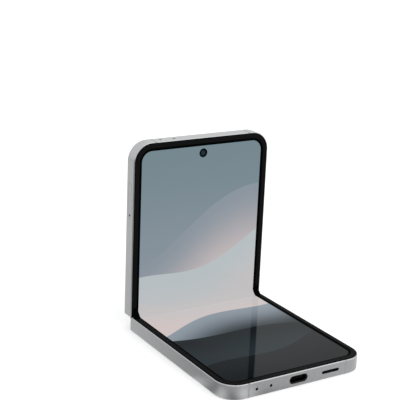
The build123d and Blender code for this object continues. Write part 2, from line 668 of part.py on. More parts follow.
def seal_section():
    """Section of an end seal's head, which fits between the halves' rounded ends."""
    top = DISPLAY_TOP - SEAL_DROP
    head = Pos(0, (AXIS_Z + top) / 2) * Rectangle(CLOSED_GAP - 2 * SEAL_SIDE_GAP, top - AXIS_Z)
    ends = [Pos(side * AXIS_Y, AXIS_Z) * Circle(RAIL_END_RADIUS + SEAL_GAP) for side in (LOWER, UPPER)]
    return head - ends


def end_seals():
    """Rubber seals that close the gap between the halves at both ends of the spine."""
    outer = WIDTH / 2 - SEAL_INSET
    head_start = WIDTH / 2 - DISPLAY_INSET + 2 * SEAL_GAP
    half = END_GAP - SEAL_GAP
    seal = Pos(head_start, 0, 0) * extrude(Plane.YZ * seal_section(), outer - head_start)
    seal += slab(SPINE_HALF, outer, -half, half, AXIS_Z - SEAL_DEPTH, AXIS_Z)
    return group([seal, Rot(0, 0, 180) * seal])


def centre_plate():
    """Narrow plate on the housings that backs the middle of the display."""
    half = MODULE_OUTER_END
    return slab(-half, half, -CENTRE_PLATE_HALF, CENTRE_PLATE_HALF, HOUSING_TOP, CENTRE_PLATE_TOP)


# ---- Boards, batteries and cables ----------------------------------------------------------------
def board_plan(side, start):
    board = half_plate(side, SIDE_WALL + BOARD_MARGIN, start, BOARD_BACK, BOARD_TOP)
    for x, v in board_screw_places(side):
        board -= rod_z(SCREW_RADIUS + FIT_GAP, x, side * v, 0, THICKNESS)
    return board


def board_screws(side):
    screws = []
    for x, v in board_screw_places(side):
        y = side * v
        shank = rod_z(SCREW_RADIUS, x, y, BOARD_BACK, MIDPLATE_BOTTOM + BOARD_SCREW_DEPTH)
        screws.append(shank + rod_z(SCREW_HEAD_RADIUS, x, y, BOARD_BACK - BOARD_HEAD, BOARD_BACK))
    return group(screws)


def battery(side, end, back):
    """Flat pouch cell with rounded long edges."""
    half = BATTERY_HALF_WIDTH
    cell = slab(-half, half, side * BATTERY_START, side * end, back, BATTERY_TOP)
    return fillet(cell.edges().filter_by(Axis.Y), BATTERY_ROUND)


def half_cable(side, end):
    """Cable along one half, from the splice at the hinge to the board."""
    low, high = CABLE_Z - CABLE_THICKNESS / 2, CABLE_Z + CABLE_THICKNESS / 2
    return slab(-CABLE_HALF_WIDTH, CABLE_HALF_WIDTH, side * CABLE_SPLICE_V, side * end, low, high)


def hinge_cable():
    """Middle of the cable, which bends inside the spine."""
    low, high = CABLE_Z - CABLE_THICKNESS / 2, CABLE_Z + CABLE_THICKNESS / 2
    return bent_strip(low, high, CABLE_BEND, CABLE_SPLICE_V - FIT_GAP, CABLE_HALF_WIDTH)


# ---- Lower half ----------------------------------------------------------------------------------
def lower_frame():
    frame = half_frame(LOWER)
    wall = (COMPARTMENT_END - 1, HALF_LENGTH + 1)
    mouth = (USB_WIDTH + 2 * USB_CLEARANCE, USB_HEIGHT + 2 * USB_CLEARANCE)
    frame -= stadium_end(LOWER, 0, RAIL_MID_Z, *mouth, *wall)
    frame -= stadium_end(LOWER, SPEAKER_SLOT_X, RAIL_MID_Z, SPEAKER_SLOT_LENGTH, SPEAKER_SLOT_HEIGHT, *wall)
    frame -= speaker_mesh_form(FIT_GAP)
    for x in MIC_XS:
        frame -= rod_y(MIC_HOLE_RADIUS, x, -wall[0], -wall[1], RAIL_MID_Z)
    return frame


def speaker_mesh_form(gap):
    """Mesh plate in a groove round the speaker slot."""
    v1 = HALF_LENGTH - MESH_DEPTH
    v0 = v1 - MESH_THICKNESS
    length = SPEAKER_SLOT_LENGTH + 2 * (MESH_THICKNESS + gap)
    height = SPEAKER_SLOT_HEIGHT + 2 * (MESH_THICKNESS + gap)
    return stadium_end(LOWER, SPEAKER_SLOT_X, RAIL_MID_Z, length, height, v0 - gap, v1 + gap)


def speaker_mesh():
    """Perforated plate over the loudspeaker's slot."""
    plate = speaker_mesh_form(0)
    pitch = (SPEAKER_SLOT_LENGTH - SPEAKER_SLOT_HEIGHT) / (MESH_COLUMNS - 1)
    for step in range(MESH_COLUMNS):
        x = SPEAKER_SLOT_X + (step - (MESH_COLUMNS - 1) / 2) * pitch
        for row in (-1, 1):
            z = RAIL_MID_Z + row * SPEAKER_SLOT_HEIGHT / 4
            plate -= rod_y(MESH_HOLE_RADIUS, x, -COMPARTMENT_END, -HALF_LENGTH, z)
    return plate


def usb_socket():
    """Metal shell of the socket: an open tube with a closed inner end."""
    mouth = HALF_LENGTH - USB_RECESS
    shell = stadium_end(LOWER, 0, RAIL_MID_Z, USB_WIDTH, USB_HEIGHT, mouth - USB_DEPTH, mouth)
    room = (USB_WIDTH - 2 * USB_WALL, USB_HEIGHT - 2 * USB_WALL)
    return shell - stadium_end(LOWER, 0, RAIL_MID_Z, *room, mouth - USB_DEPTH + USB_BASE, mouth + 1)


def usb_tongue():
    """Contact tongue in the middle of the socket."""
    start = HALF_LENGTH - USB_RECESS - USB_DEPTH + USB_BASE
    half = TONGUE_THICKNESS / 2
    low, high = RAIL_MID_Z - half, RAIL_MID_Z + half
    return slab(-TONGUE_WIDTH / 2, TONGUE_WIDTH / 2, -start, -(start + TONGUE_LENGTH), low, high)


def sub_board():
    """Board of the lower half, notched round the socket."""
    board = board_plan(LOWER, SUB_BOARD_START)
    half = USB_WIDTH / 2 + 2 * FIT_GAP
    notch_start = HALF_LENGTH - USB_RECESS - USB_DEPTH - 2 * FIT_GAP
    return board - slab(-half, half, -notch_start, -HALF_LENGTH, 0, THICKNESS)


def loudspeaker():
    """Loudspeaker box that stands on the board and blows out of the slot."""
    end = COMPARTMENT_END - BOARD_MARGIN
    half = SPEAKER_WIDTH / 2
    x0, x1 = SPEAKER_SLOT_X - half, SPEAKER_SLOT_X + half
    box = slab(x0, x1, -(end - SPEAKER_LENGTH), -end, BOARD_BACK - SPEAKER_HEIGHT, BOARD_BACK)
    return fillet(box.edges().filter_by(Axis.Z), SPEAKER_ROUND)


def vibration_motor():
    return rod_z(MOTOR_RADIUS, MOTOR_X, -MOTOR_V, BOARD_BACK - MOTOR_HEIGHT, BOARD_BACK)


def microphones(side):
    """Microphones on the back of a board, each behind its hole in the end wall."""
    end = COMPARTMENT_END - BOARD_MARGIN
    y0, y1 = side * (end - MIC_DEPTH), side * end
    half = MIC_SIZE / 2
    return group(slab(x - half, x + half, y0, y1, BOARD_BACK - MIC_HEIGHT, BOARD_BACK) for x in MIC_XS)


def charging_coil():
    """Flat coil for wireless charging, on the inner face of the lower glass."""
    top = GLASS_THICKNESS + COIL_THICKNESS
    coil = rod_z(COIL_OUTER, 0, -COIL_V, GLASS_THICKNESS, top)
    return coil - rod_z(COIL_INNER, 0, -COIL_V, 0, top + 1)


def lower_half():
    """Pieces fixed to the lower half."""
    return {
        "lower_frame": lower_frame(),
        "lower_antenna_breaks": antenna_breaks(LOWER),
        "lower_back_glass": back_glass(LOWER),
        "lower_bezel": bezel(LOWER),
        "lower_display": display_sheet(LOWER, DISPLAY_BOTTOM, DISPLAY_TOP),
        "lower_support_plate": display_sheet(LOWER, MIDPLATE_TOP, DISPLAY_BOTTOM),
        "lower_battery": battery(LOWER, LOWER_BATTERY_END, LOWER_BATTERY_BACK),
        "lower_cable": half_cable(LOWER, SUB_BOARD_START),
        "sub_board": sub_board(),
        "sub_board_screws": board_screws(LOWER),
        "usb_socket": usb_socket(),
        "usb_tongue": usb_tongue(),
        "loudspeaker": loudspeaker(),
        "speaker_mesh": speaker_mesh(),
        "bottom_microphones": microphones(LOWER),
        "vibration_motor": vibration_motor(),
        "charging_coil": charging_coil(),
        "lower_hinge_arms": group(both_modules(hinge_arm, LOWER)),
        "lower_wing_screws": wing_screws(LOWER),
        "lower_spring_washers": spring_washers(LOWER),
    }


# ---- Upper half ----------------------------------------------------------------------------------
def key_span(key):
    """v of a key's two ends."""
    return HALF_LENGTH - key[1], HALF_LENGTH - key[0]


def key_cap(key):
    """Key: a cap through the rail and a flange behind it."""
    v0, v1 = key_span(key)
    inner = WIDTH / 2 - SIDE_WALL - FIT_GAP
    cap = stadium_side(inner - KEY_FLANGE, WIDTH / 2 + KEY_PROUD, v0, v1, RAIL_MID_Z, KEY_HEIGHT)
    grow = KEY_FLANGE
    flange = stadium_side(inner - KEY_FLANGE, inner, v0 - grow, v1 + grow, RAIL_MID_Z, KEY_HEIGHT + grow)
    cap = fillet(cap.faces().sort_by(Axis.X)[-1].edges(), KEY_ROUND)
    return cap + flange


def key_slot(key):
    v0, v1 = key_span(key)
    height = KEY_HEIGHT + 2 * KEY_GAP
    x = WIDTH / 2
    return stadium_side(x - SIDE_WALL - 1, x + 1, v0 - KEY_GAP, v1 + KEY_GAP, RAIL_MID_Z, height)


def key_switch_face():
    """X of the switches' faces, just behind a pressed key."""
    return WIDTH / 2 - SIDE_WALL - FIT_GAP - KEY_FLANGE - KEY_TRAVEL - FIT_GAP


def key_switches():
    """Dome switches on brackets under the midplate: one for power, two for volume."""
    x1 = key_switch_face()
    power = sum(key_span(POWER_KEY)) / 2
    low, high = key_span(VOLUME_KEY)
    middles = (power, low + SWITCH_LENGTH / 2, high - SWITCH_LENGTH / 2)
    low_z = RAIL_MID_Z - KEY_HEIGHT / 2
    half = SWITCH_LENGTH / 2
    x0 = x1 - SWITCH_THICKNESS
    return group(slab(x0, x1, v - half, v + half, low_z, MIDPLATE_BOTTOM) for v in middles)


def tray_slot():
    height = TRAY_FACE_HEIGHT + 2 * TRAY_GAP
    x = -WIDTH / 2
    v0, v1 = TRAY_BOTTOM_V - TRAY_GAP, TRAY_TOP_V + TRAY_GAP
    return stadium_side(x - 1, x + SIDE_WALL + 1, v0, v1, RAIL_MID_Z, height)


def tray_plate_span():
    """v of the tray plate's two ends, clear of the eject hole."""
    return TRAY_BOTTOM_V + 1.5 * EJECT_HOLE_FROM_END, TRAY_TOP_V - TRAY_PLATE_MARGIN


def sim_tray():
    """Card tray: face in the rail and a plate with the card's opening behind it."""
    outer = -WIDTH / 2
    root = outer + SIDE_WALL
    face = stadium_side(outer, root, TRAY_BOTTOM_V, TRAY_TOP_V, RAIL_MID_Z, TRAY_FACE_HEIGHT)
    half = TRAY_PLATE_THICKNESS / 2
    v0, v1 = tray_plate_span()
    inner = root + TRAY_PLATE_DEPTH
    plate = slab(root, inner, v0, v1, RAIL_MID_Z - half, RAIL_MID_Z + half)
    margin = TRAY_PLATE_MARGIN
    card = slab(root + margin, inner - margin, v0 + margin, v1 - margin, RAIL_MID_Z - half / 2, THICKNESS)
    hole = rod_x(EJECT_HOLE_RADIUS, outer - 1, root + 1, TRAY_BOTTOM_V + EJECT_HOLE_FROM_END, RAIL_MID_Z)
    return face + (plate - card) - hole


def sim_socket():
    """Sheet-metal cage round the tray's plate, on the back of the board."""
    low, high = tray_plate_span()
    v0, v1 = low - SOCKET_GAP, high + SOCKET_GAP
    x0 = -WIDTH / 2 + SIDE_WALL + BOARD_MARGIN
    x1 = -WIDTH / 2 + SIDE_WALL + TRAY_PLATE_DEPTH + SOCKET_GAP
    half = TRAY_PLATE_THICKNESS / 2 + SOCKET_GAP
    sheet = SOCKET_SHEET
    cage = slab(x0, x1 + sheet, v0 - sheet, v1 + sheet, RAIL_MID_Z - half - sheet, BOARD_BACK)
    return cage - slab(x0 - 1, x1, v0, v1, RAIL_MID_Z - half, RAIL_MID_Z + half)


def upper_frame():
    frame = half_frame(UPPER)
    wall = (COMPARTMENT_END - 1, HALF_LENGTH + 1)
    for x in MIC_XS:
        frame -= rod_y(MIC_HOLE_RADIUS, x, *wall, RAIL_MID_Z)
    frame -= key_slot(POWER_KEY)
    frame -= key_slot(VOLUME_KEY)
    frame -= tray_slot()
    return frame - rod_z(SELFIE_BARREL + FIT_GAP, 0, SELFIE_V, MIDPLATE_BOTTOM - 1, THICKNESS)


def cover_glass():
    """Window over the back of the upper half, with a hole for each camera ring."""
    glass = back_glass(UPPER)
    for x in CAMERA_XS:
        glass -= rod_z(RING_OUTER + FIT_GAP, x, CAMERA_V, -1, 1)
    return glass


def cover_display():
    """Small display behind the cover glass, stepped round the cameras."""
    bottom = COVER_DISPLAY_START
    camera_top = HALF_LENGTH - COVER_DISPLAY_TOP_CAMERA
    other_top = HALF_LENGTH - COVER_DISPLAY_TOP_OTHER
    half = WIDTH / 2 - COVER_DISPLAY_INSET
    step_x0, step_x1 = (WIDTH / 2 - inset for inset in COVER_DISPLAY_STEP)
    camera_side = [(half, bottom), (half, camera_top), (step_x0, camera_top)]
    other_side = [(step_x1, other_top), (-half, other_top), (-half, bottom)]
    plan = make_face(FilletPolyline(*camera_side, *other_side, radius=COVER_DISPLAY_ROUND, close=True))
    return Pos(0, 0, COVER_DISPLAY_BACK) * extrude(plan, COVER_DISPLAY_THICKNESS)


def upper_display():
    return display_sheet(UPPER, DISPLAY_BOTTOM, DISPLAY_TOP) - rod_z(SELFIE_HOLE, 0, SELFIE_V, 0, THICKNESS)


def upper_support_plate():
    plate = display_sheet(UPPER, MIDPLATE_TOP, DISPLAY_BOTTOM)
    return plate - rod_z(SELFIE_HOLE, 0, SELFIE_V, 0, THICKNESS)


def upper_bezel():
    """Upper bezel with the narrow slit of the earpiece at its outer edge."""
    edge = HALF_LENGTH - BEZEL_INSET
    half = EARPIECE_SLIT / 2
    slit = slab(-half, half, edge - EARPIECE_SLIT_WIDTH, edge, MIDPLATE_TOP, THICKNESS + 1)
    return bezel(UPPER) - slit


def selfie_camera():
    """Front camera: body under the midplate and barrel up to the display's hole."""
    barrel = rod_z(SELFIE_BARREL, 0, SELFIE_V, MIDPLATE_BOTTOM, DISPLAY_TOP - SELFIE_RECESS)
    half = SELFIE_BODY / 2
    low = MIDPLATE_BOTTOM - SELFIE_BODY_DEPTH
    return barrel + slab(-half, half, SELFIE_V - half, SELFIE_V + half, low, MIDPLATE_BOTTOM)


def camera_module(x):
    """Rear camera: square body and the barrel behind its ring."""
    half = CAMERA_BODY / 2
    back = GLASS_THICKNESS + RING_FLANGE_THICKNESS
    body = slab(x - half, x + half, CAMERA_V - half, CAMERA_V + half, back, MIDPLATE_BOTTOM)
    body = fillet(body.edges().filter_by(Axis.Z), CAMERA_BODY_ROUND)
    return body + rod_z(CAMERA_BARREL, x, CAMERA_V, LENS_SEAT + FIT_GAP, back)


def camera_rings():
    """Metal rings that stand out of the cover glass and hold the lens glasses."""
    back = GLASS_THICKNESS + RING_FLANGE_THICKNESS
    rings = []
    for x in CAMERA_XS:
        ring = rod_z(RING_OUTER, x, CAMERA_V, -RING_PROUD, GLASS_THICKNESS)
        ring = chamfer(ring.edges().sort_by(Axis.Z)[:1], RING_CHAMFER)
        ring += rod_z(RING_FLANGE, x, CAMERA_V, GLASS_THICKNESS, back)
        ring -= rod_z(RING_INNER, x, CAMERA_V, -RING_PROUD - 1, LENS_SEAT)
        rings.append(ring - rod_z(RING_LEDGE, x, CAMERA_V, -RING_PROUD - 1, back + 1))
    return group(rings)


def lens_glasses():
    low = LENS_SEAT - LENS_THICKNESS
    return group(rod_z(RING_INNER - FIT_GAP, x, CAMERA_V, low, LENS_SEAT) for x in CAMERA_XS)


def flash():
    """Flash behind the cover glass."""
    return rod_z(FLASH_RADIUS, FLASH_X, FLASH_V, GLASS_THICKNESS, GLASS_THICKNESS + FLASH_DEPTH)


def main_board():
    """Board of the upper half, notched round the cameras."""
    board = board_plan(UPPER, MAIN_BOARD_START)
    reach = CAMERA_BODY / 2 + 4 * FIT_GAP
    for x in CAMERA_XS:
        board -= slab(x - reach, x + reach, CAMERA_V - reach, CAMERA_V + reach, 0, THICKNESS)
    half = SELFIE_BODY / 2 + 2 * FIT_GAP
    board -= slab(-half, half, SELFIE_V - half, HALF_LENGTH, 0, THICKNESS)
    half = EARPIECE_LENGTH / 2 + 2 * FIT_GAP
    board -= slab(-half, half, COMPARTMENT_END - EARPIECE_WIDTH - 3 * FIT_GAP, HALF_LENGTH, 0, THICKNESS)
    low, high = key_span(VOLUME_KEY)
    margin = KEY_FLANGE + 3 * FIT_GAP
    x0 = key_switch_face() - SWITCH_THICKNESS - 3 * FIT_GAP
    return board - slab(x0, WIDTH, low - margin, high + margin, 0, THICKNESS)


def shield_can():
    """Tin lid over the processor."""
    half = PROCESSOR_SIZE / 2 + SHIELD_MARGIN
    low = BOARD_BACK - SHIELD_HEIGHT
    can = slab(-half, half, PROCESSOR_V - half, PROCESSOR_V + half, low, BOARD_BACK)
    inner = half - SHIELD_SHEET
    v0, v1 = PROCESSOR_V - inner, PROCESSOR_V + inner
    return can - slab(-inner, inner, v0, v1, low + SHIELD_SHEET, BOARD_BACK)


def processor():
    half = PROCESSOR_SIZE / 2
    v0, v1 = PROCESSOR_V - half, PROCESSOR_V + half
    return slab(-half, half, v0, v1, BOARD_BACK - PROCESSOR_HEIGHT, BOARD_BACK)


def earpiece():
    """Slim receiver under the midplate at the top end."""
    half = EARPIECE_LENGTH / 2
    v1 = COMPARTMENT_END - FIT_GAP
    low = MIDPLATE_BOTTOM - EARPIECE_HEIGHT
    return slab(-half, half, v1 - EARPIECE_WIDTH, v1, low, MIDPLATE_BOTTOM)


def upper_half():
    """Pieces fixed to the upper half."""
    return {
        "upper_frame": upper_frame(),
        "upper_antenna_breaks": antenna_breaks(UPPER),
        "cover_glass": cover_glass(),
        "cover_display": cover_display(),
        "upper_bezel": upper_bezel(),
        "upper_display": upper_display(),
        "upper_support_plate": upper_support_plate(),
        "upper_battery": battery(UPPER, UPPER_BATTERY_END, UPPER_BATTERY_BACK),
        "upper_cable": half_cable(UPPER, MAIN_BOARD_START),
        "main_board": main_board(),
        "main_board_screws": board_screws(UPPER),
        "shield_can": shield_can(),
        "processor": processor(),
        "sim_socket": sim_socket(),
        "wide_camera": camera_module(CAMERA_XS[0]),
        "ultrawide_camera": camera_module(CAMERA_XS[1]),
        "camera_rings": camera_rings(),
        "lens_glasses": lens_glasses(),
        "flash": flash(),
        "selfie_camera": selfie_camera(),
        "earpiece": earpiece(),
        "top_microphones": microphones(UPPER),
        "key_switches": key_switches(),
        "upper_hinge_arms": group(both_modules(hinge_arm, UPPER)),
        "upper_wing_screws": wing_screws(UPPER),
        "upper_spring_washers": spring_washers(UPPER),
        "sim_tray": sim_tray(),
        "power_key": key_cap(POWER_KEY),
        "volume_key": key_cap(VOLUME_KEY),
    }


def spine():
    """Pieces drawn in the spine's frame for the stored pose."""
    housing = hinge_housing()
    display_half = WIDTH / 2 - DISPLAY_INSET
    return {
        "hinge_cover": hinge_cover(),
        "hinge_housings": group([housing, Rot(0, 0, 180) * housing]),
        "hinge_end_seals": end_seals(),
        "housing_screws": housing_screws(),
        "centre_plate": centre_plate(),
        "display_fold": bent_strip(DISPLAY_BOTTOM, DISPLAY_TOP, display_bend(), FLAT_START, display_half),
        "hinge_cable": hinge_cable(),
        "lower_hinge_shafts": group(both_modules(hinge_shaft, LOWER)),
        "upper_hinge_shafts": group(both_modules(hinge_shaft, UPPER)),
        "lower_idler_gears": group(both_modules(idler_gear, LOWER)),
        "upper_idler_gears": group(both_modules(idler_gear, UPPER)),
    }


# ---- Stored pose ---------------------------------------------------------------------------------
def turn_about(y, z, degrees):
    """Turn about an axis along X."""
    return Pos(0, y, z) * Rot(degrees, 0, 0) * Pos(0, -y, -z)


LOWER_PLACE = Pos(0, FOLD_Y, 0)
SPINE_PLACE = LOWER_PLACE * turn_about(-AXIS_Y, AXIS_Z, HALF_ANGLE)
UPPER_PLACE = SPINE_PLACE * turn_about(AXIS_Y, AXIS_Z, HALF_ANGLE)

os.makedirs("parts", exist_ok=True)
for place, pieces in ((LOWER_PLACE, lower_half()), (SPINE_PLACE, spine()), (UPPER_PLACE, upper_half())):
    for name, piece in pieces.items():
        export_step(place * piece, f"parts/{name}.step")
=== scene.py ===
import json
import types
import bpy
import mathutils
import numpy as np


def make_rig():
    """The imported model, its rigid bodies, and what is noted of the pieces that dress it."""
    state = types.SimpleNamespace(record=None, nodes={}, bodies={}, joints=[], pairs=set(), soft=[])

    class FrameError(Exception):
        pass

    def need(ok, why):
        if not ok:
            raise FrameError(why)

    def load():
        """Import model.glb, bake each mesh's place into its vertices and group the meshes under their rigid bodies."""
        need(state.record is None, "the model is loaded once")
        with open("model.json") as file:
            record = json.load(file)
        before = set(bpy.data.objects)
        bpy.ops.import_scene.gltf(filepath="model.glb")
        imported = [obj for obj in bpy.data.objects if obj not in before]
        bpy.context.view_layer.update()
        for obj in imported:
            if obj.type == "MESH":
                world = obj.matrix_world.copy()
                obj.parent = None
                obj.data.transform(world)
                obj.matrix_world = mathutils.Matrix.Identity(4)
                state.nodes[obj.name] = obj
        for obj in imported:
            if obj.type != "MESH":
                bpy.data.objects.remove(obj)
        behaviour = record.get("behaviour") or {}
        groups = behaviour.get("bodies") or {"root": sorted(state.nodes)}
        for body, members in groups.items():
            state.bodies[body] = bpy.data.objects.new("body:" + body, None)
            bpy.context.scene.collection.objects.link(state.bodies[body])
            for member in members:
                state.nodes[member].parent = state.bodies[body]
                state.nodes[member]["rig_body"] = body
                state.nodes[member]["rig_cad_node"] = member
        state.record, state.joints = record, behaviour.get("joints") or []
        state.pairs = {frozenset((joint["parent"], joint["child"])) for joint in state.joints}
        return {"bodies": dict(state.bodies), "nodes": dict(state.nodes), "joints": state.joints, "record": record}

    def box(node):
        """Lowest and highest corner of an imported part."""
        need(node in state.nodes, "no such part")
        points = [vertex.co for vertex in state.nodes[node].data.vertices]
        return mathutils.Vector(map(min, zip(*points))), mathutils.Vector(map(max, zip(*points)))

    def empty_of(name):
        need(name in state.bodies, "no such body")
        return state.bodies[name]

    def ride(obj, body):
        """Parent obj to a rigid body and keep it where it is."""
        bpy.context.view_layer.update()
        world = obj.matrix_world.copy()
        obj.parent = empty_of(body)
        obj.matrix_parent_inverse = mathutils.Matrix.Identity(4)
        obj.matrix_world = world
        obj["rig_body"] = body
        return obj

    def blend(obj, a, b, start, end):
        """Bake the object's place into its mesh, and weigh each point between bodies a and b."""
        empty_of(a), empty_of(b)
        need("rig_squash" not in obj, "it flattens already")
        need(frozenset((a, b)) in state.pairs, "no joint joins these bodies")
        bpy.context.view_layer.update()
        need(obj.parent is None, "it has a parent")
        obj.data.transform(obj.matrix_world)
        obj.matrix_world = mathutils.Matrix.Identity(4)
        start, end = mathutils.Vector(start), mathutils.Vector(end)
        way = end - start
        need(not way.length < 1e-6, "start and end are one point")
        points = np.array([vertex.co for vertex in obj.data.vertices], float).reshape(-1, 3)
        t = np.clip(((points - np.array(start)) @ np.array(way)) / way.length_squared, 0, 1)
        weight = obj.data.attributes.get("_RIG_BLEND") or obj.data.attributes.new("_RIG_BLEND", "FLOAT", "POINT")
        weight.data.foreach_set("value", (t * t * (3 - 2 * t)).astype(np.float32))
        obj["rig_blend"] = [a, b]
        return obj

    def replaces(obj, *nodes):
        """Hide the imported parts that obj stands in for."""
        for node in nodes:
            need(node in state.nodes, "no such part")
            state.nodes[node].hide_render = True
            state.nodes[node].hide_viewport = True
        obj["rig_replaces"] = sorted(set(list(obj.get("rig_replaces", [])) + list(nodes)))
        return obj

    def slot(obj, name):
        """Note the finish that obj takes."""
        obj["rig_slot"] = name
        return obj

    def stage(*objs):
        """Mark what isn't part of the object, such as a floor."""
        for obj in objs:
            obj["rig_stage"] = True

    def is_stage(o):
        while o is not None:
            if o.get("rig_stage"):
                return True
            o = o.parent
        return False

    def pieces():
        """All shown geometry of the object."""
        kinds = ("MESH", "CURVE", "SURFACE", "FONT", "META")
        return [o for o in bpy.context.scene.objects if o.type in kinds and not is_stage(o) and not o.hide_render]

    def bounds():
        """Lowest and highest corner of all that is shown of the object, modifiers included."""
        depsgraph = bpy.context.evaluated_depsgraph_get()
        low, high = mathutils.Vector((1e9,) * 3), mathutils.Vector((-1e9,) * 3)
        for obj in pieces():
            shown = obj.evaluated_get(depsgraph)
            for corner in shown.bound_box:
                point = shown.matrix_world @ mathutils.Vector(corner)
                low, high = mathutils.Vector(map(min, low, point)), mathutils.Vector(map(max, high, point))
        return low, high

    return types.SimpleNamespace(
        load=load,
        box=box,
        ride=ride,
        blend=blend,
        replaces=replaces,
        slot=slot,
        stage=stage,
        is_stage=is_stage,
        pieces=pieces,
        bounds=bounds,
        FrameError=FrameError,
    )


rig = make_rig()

bl_info = {
    "name": "Flip phone",
    "version": (1, 0, 0),
    "blender": (4, 5, 0),
    "location": "3D View > Sidebar > Phone",
    "description": "Dresses the pieces of a folding phone and sets its stage",
    "category": "Object",
}

import json
import math

import bmesh
import bpy
from bpy.props import FloatProperty, FloatVectorProperty, PointerProperty
from mathutils import Matrix, Vector
from mathutils.geometry import delaunay_2d_cdt

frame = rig.load()
cad_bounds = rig.bounds()

MM = 0.001
SAME_PLACE = 1e-7  # points nearer than this are one
SHARP_ANGLE = math.radians(35)  # edges sharper than this stay sharp
CORNER_STEPS = 14  # of the phone's round corners
BEND_ROWS = 16  # of faces from the fold to where a sheet lies flat
SPOT_GRAINS = 60  # grains across a spot of a finish
UNEVEN = 0.12  # share by which a finish's roughness goes up and down
WHITE = (1, 1, 1, 1)
LOWER, UPPER = -1, 1
BODIES = {LOWER: "lower_half", UPPER: "upper_half"}

# The phone is drawn opened flat: X across, Y along with the fold at FOLD_Y, Z from the back to the
# display.  "v" is the distance from the fold, on either half.  PLACES puts a body where it is stored.
JOINTS = {joint["name"]: joint for joint in frame["joints"]}
LOWER_AXIS = Vector(JOINTS["lower_fold"]["pos_m"])
UPPER_AXIS = Vector(JOINTS["upper_fold"]["pos_m"])
HALF_FOLD = math.radians(JOINTS["lower_fold"]["range_deg"][1])
AXIS_REACH = (UPPER_AXIS - LOWER_AXIS).length / 2
FOLD_Y = LOWER_AXIS.y + AXIS_REACH
METAL_LOW, METAL_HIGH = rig.box("lower_frame")
HALF_WIDTH = METAL_HIGH.x
HALF_LENGTH = FOLD_Y - METAL_LOW.y


def turned(centre, angle):
    """Turn about an axis along X."""
    return Matrix.Translation(centre) @ Matrix.Rotation(angle, 4, "X") @ Matrix.Translation(-centre)


SPINE_PLACE = turned(LOWER_AXIS, HALF_FOLD)
UPPER_PLACE = SPINE_PLACE @ turned(LOWER_AXIS + Vector((0, 2 * AXIS_REACH, 0)), HALF_FOLD)
PLACES = {"lower_half": Matrix.Identity(4), "hinge_spine": SPINE_PLACE, "upper_half": UPPER_PLACE}


def srgb(red, green, blue):
    """Linear colour of an 8-bit display colour."""
    shares = (channel / 255 for channel in (red, green, blue))
    return tuple(s / 12.92 if s <= 0.04045 else ((s + 0.055) / 1.055) ** 2.4 for s in shares)


# ---- What a user may change ----------------------------------------------------------------------
class PhoneSizes(bpy.types.PropertyGroup):
    """Sizes of the dressed pieces"""

    corner_radius: FloatProperty(
        name="Corner radius", description="Radius of the phone's outer corners",
        default=9 * MM, unit="LENGTH")
    glass_round: FloatProperty(
        name="Glass edge", description="Rounding of the back panels' edges",
        default=0.3 * MM, unit="LENGTH")
    bezel_round: FloatProperty(
        name="Bezel edge", description="Rounding of the soft rim's outer edge",
        default=0.3 * MM, unit="LENGTH")
    bezel_groove: FloatProperty(
        name="Bezel groove", description="Width of the groove between the metal and the raised rim",
        default=0.16 * MM, unit="LENGTH")
    bezel_start: FloatProperty(
        name="Bezel start", description="From the fold to where the soft rim rises above the metal",
        default=4.4 * MM, unit="LENGTH")
    bezel_width: FloatProperty(
        name="Bezel width", description="Width of the soft rim",
        default=2.45 * MM, unit="LENGTH")
    bezel_wall: FloatProperty(
        name="Bezel wall", description="Width of the rim's part that reaches down beside the display",
        default=0.95 * MM, unit="LENGTH")
    picture_inset: FloatProperty(
        name="Picture inset", description="From the phone's edge to the lit part of the display",
        default=4.0 * MM, unit="LENGTH")
    fold_inset: FloatProperty(
        name="Fold inset", description="From the phone's edge to the display's edge where it bends",
        default=0.6 * MM, unit="LENGTH")
    hole_border: FloatProperty(
        name="Hole border", description="Width of the unlit ring round the front camera's hole",
        default=0.27 * MM, unit="LENGTH")
    earpiece_slit: FloatVectorProperty(
        name="Earpiece slit", description="Length and width of the slit in the upper rim",
        default=(9 * MM, 0.3 * MM), size=2, unit="LENGTH")
    bend_reach: FloatProperty(
        name="Bend reach", description="How far from the fold the display starts to bend",
        default=4.4 * MM, unit="LENGTH")
    bend_roundness: FloatProperty(
        name="Bend roundness", default=0.6, min=0, max=1,
        description="0 keeps the opened display flat, 1 bends the stored one in an arc")
    bend_sag: FloatProperty(
        name="Bend sag", description="How far the middle of a fully round bend lies below the display",
        default=0.2 * MM, unit="LENGTH")
    sheet_thickness: FloatProperty(
        name="Sheet thickness", description="Thickness of the display's sheet",
        default=0.12 * MM, unit="LENGTH")
    cover_picture_half: FloatProperty(
        name="Cover picture half width", description="Half the width of the lit part of the cover display",
        default=31.4 * MM, unit="LENGTH")
    cover_picture_round: FloatProperty(
        name="Cover picture corners", description="Corner radius of the lit part of the cover display",
        default=3.5 * MM, unit="LENGTH")


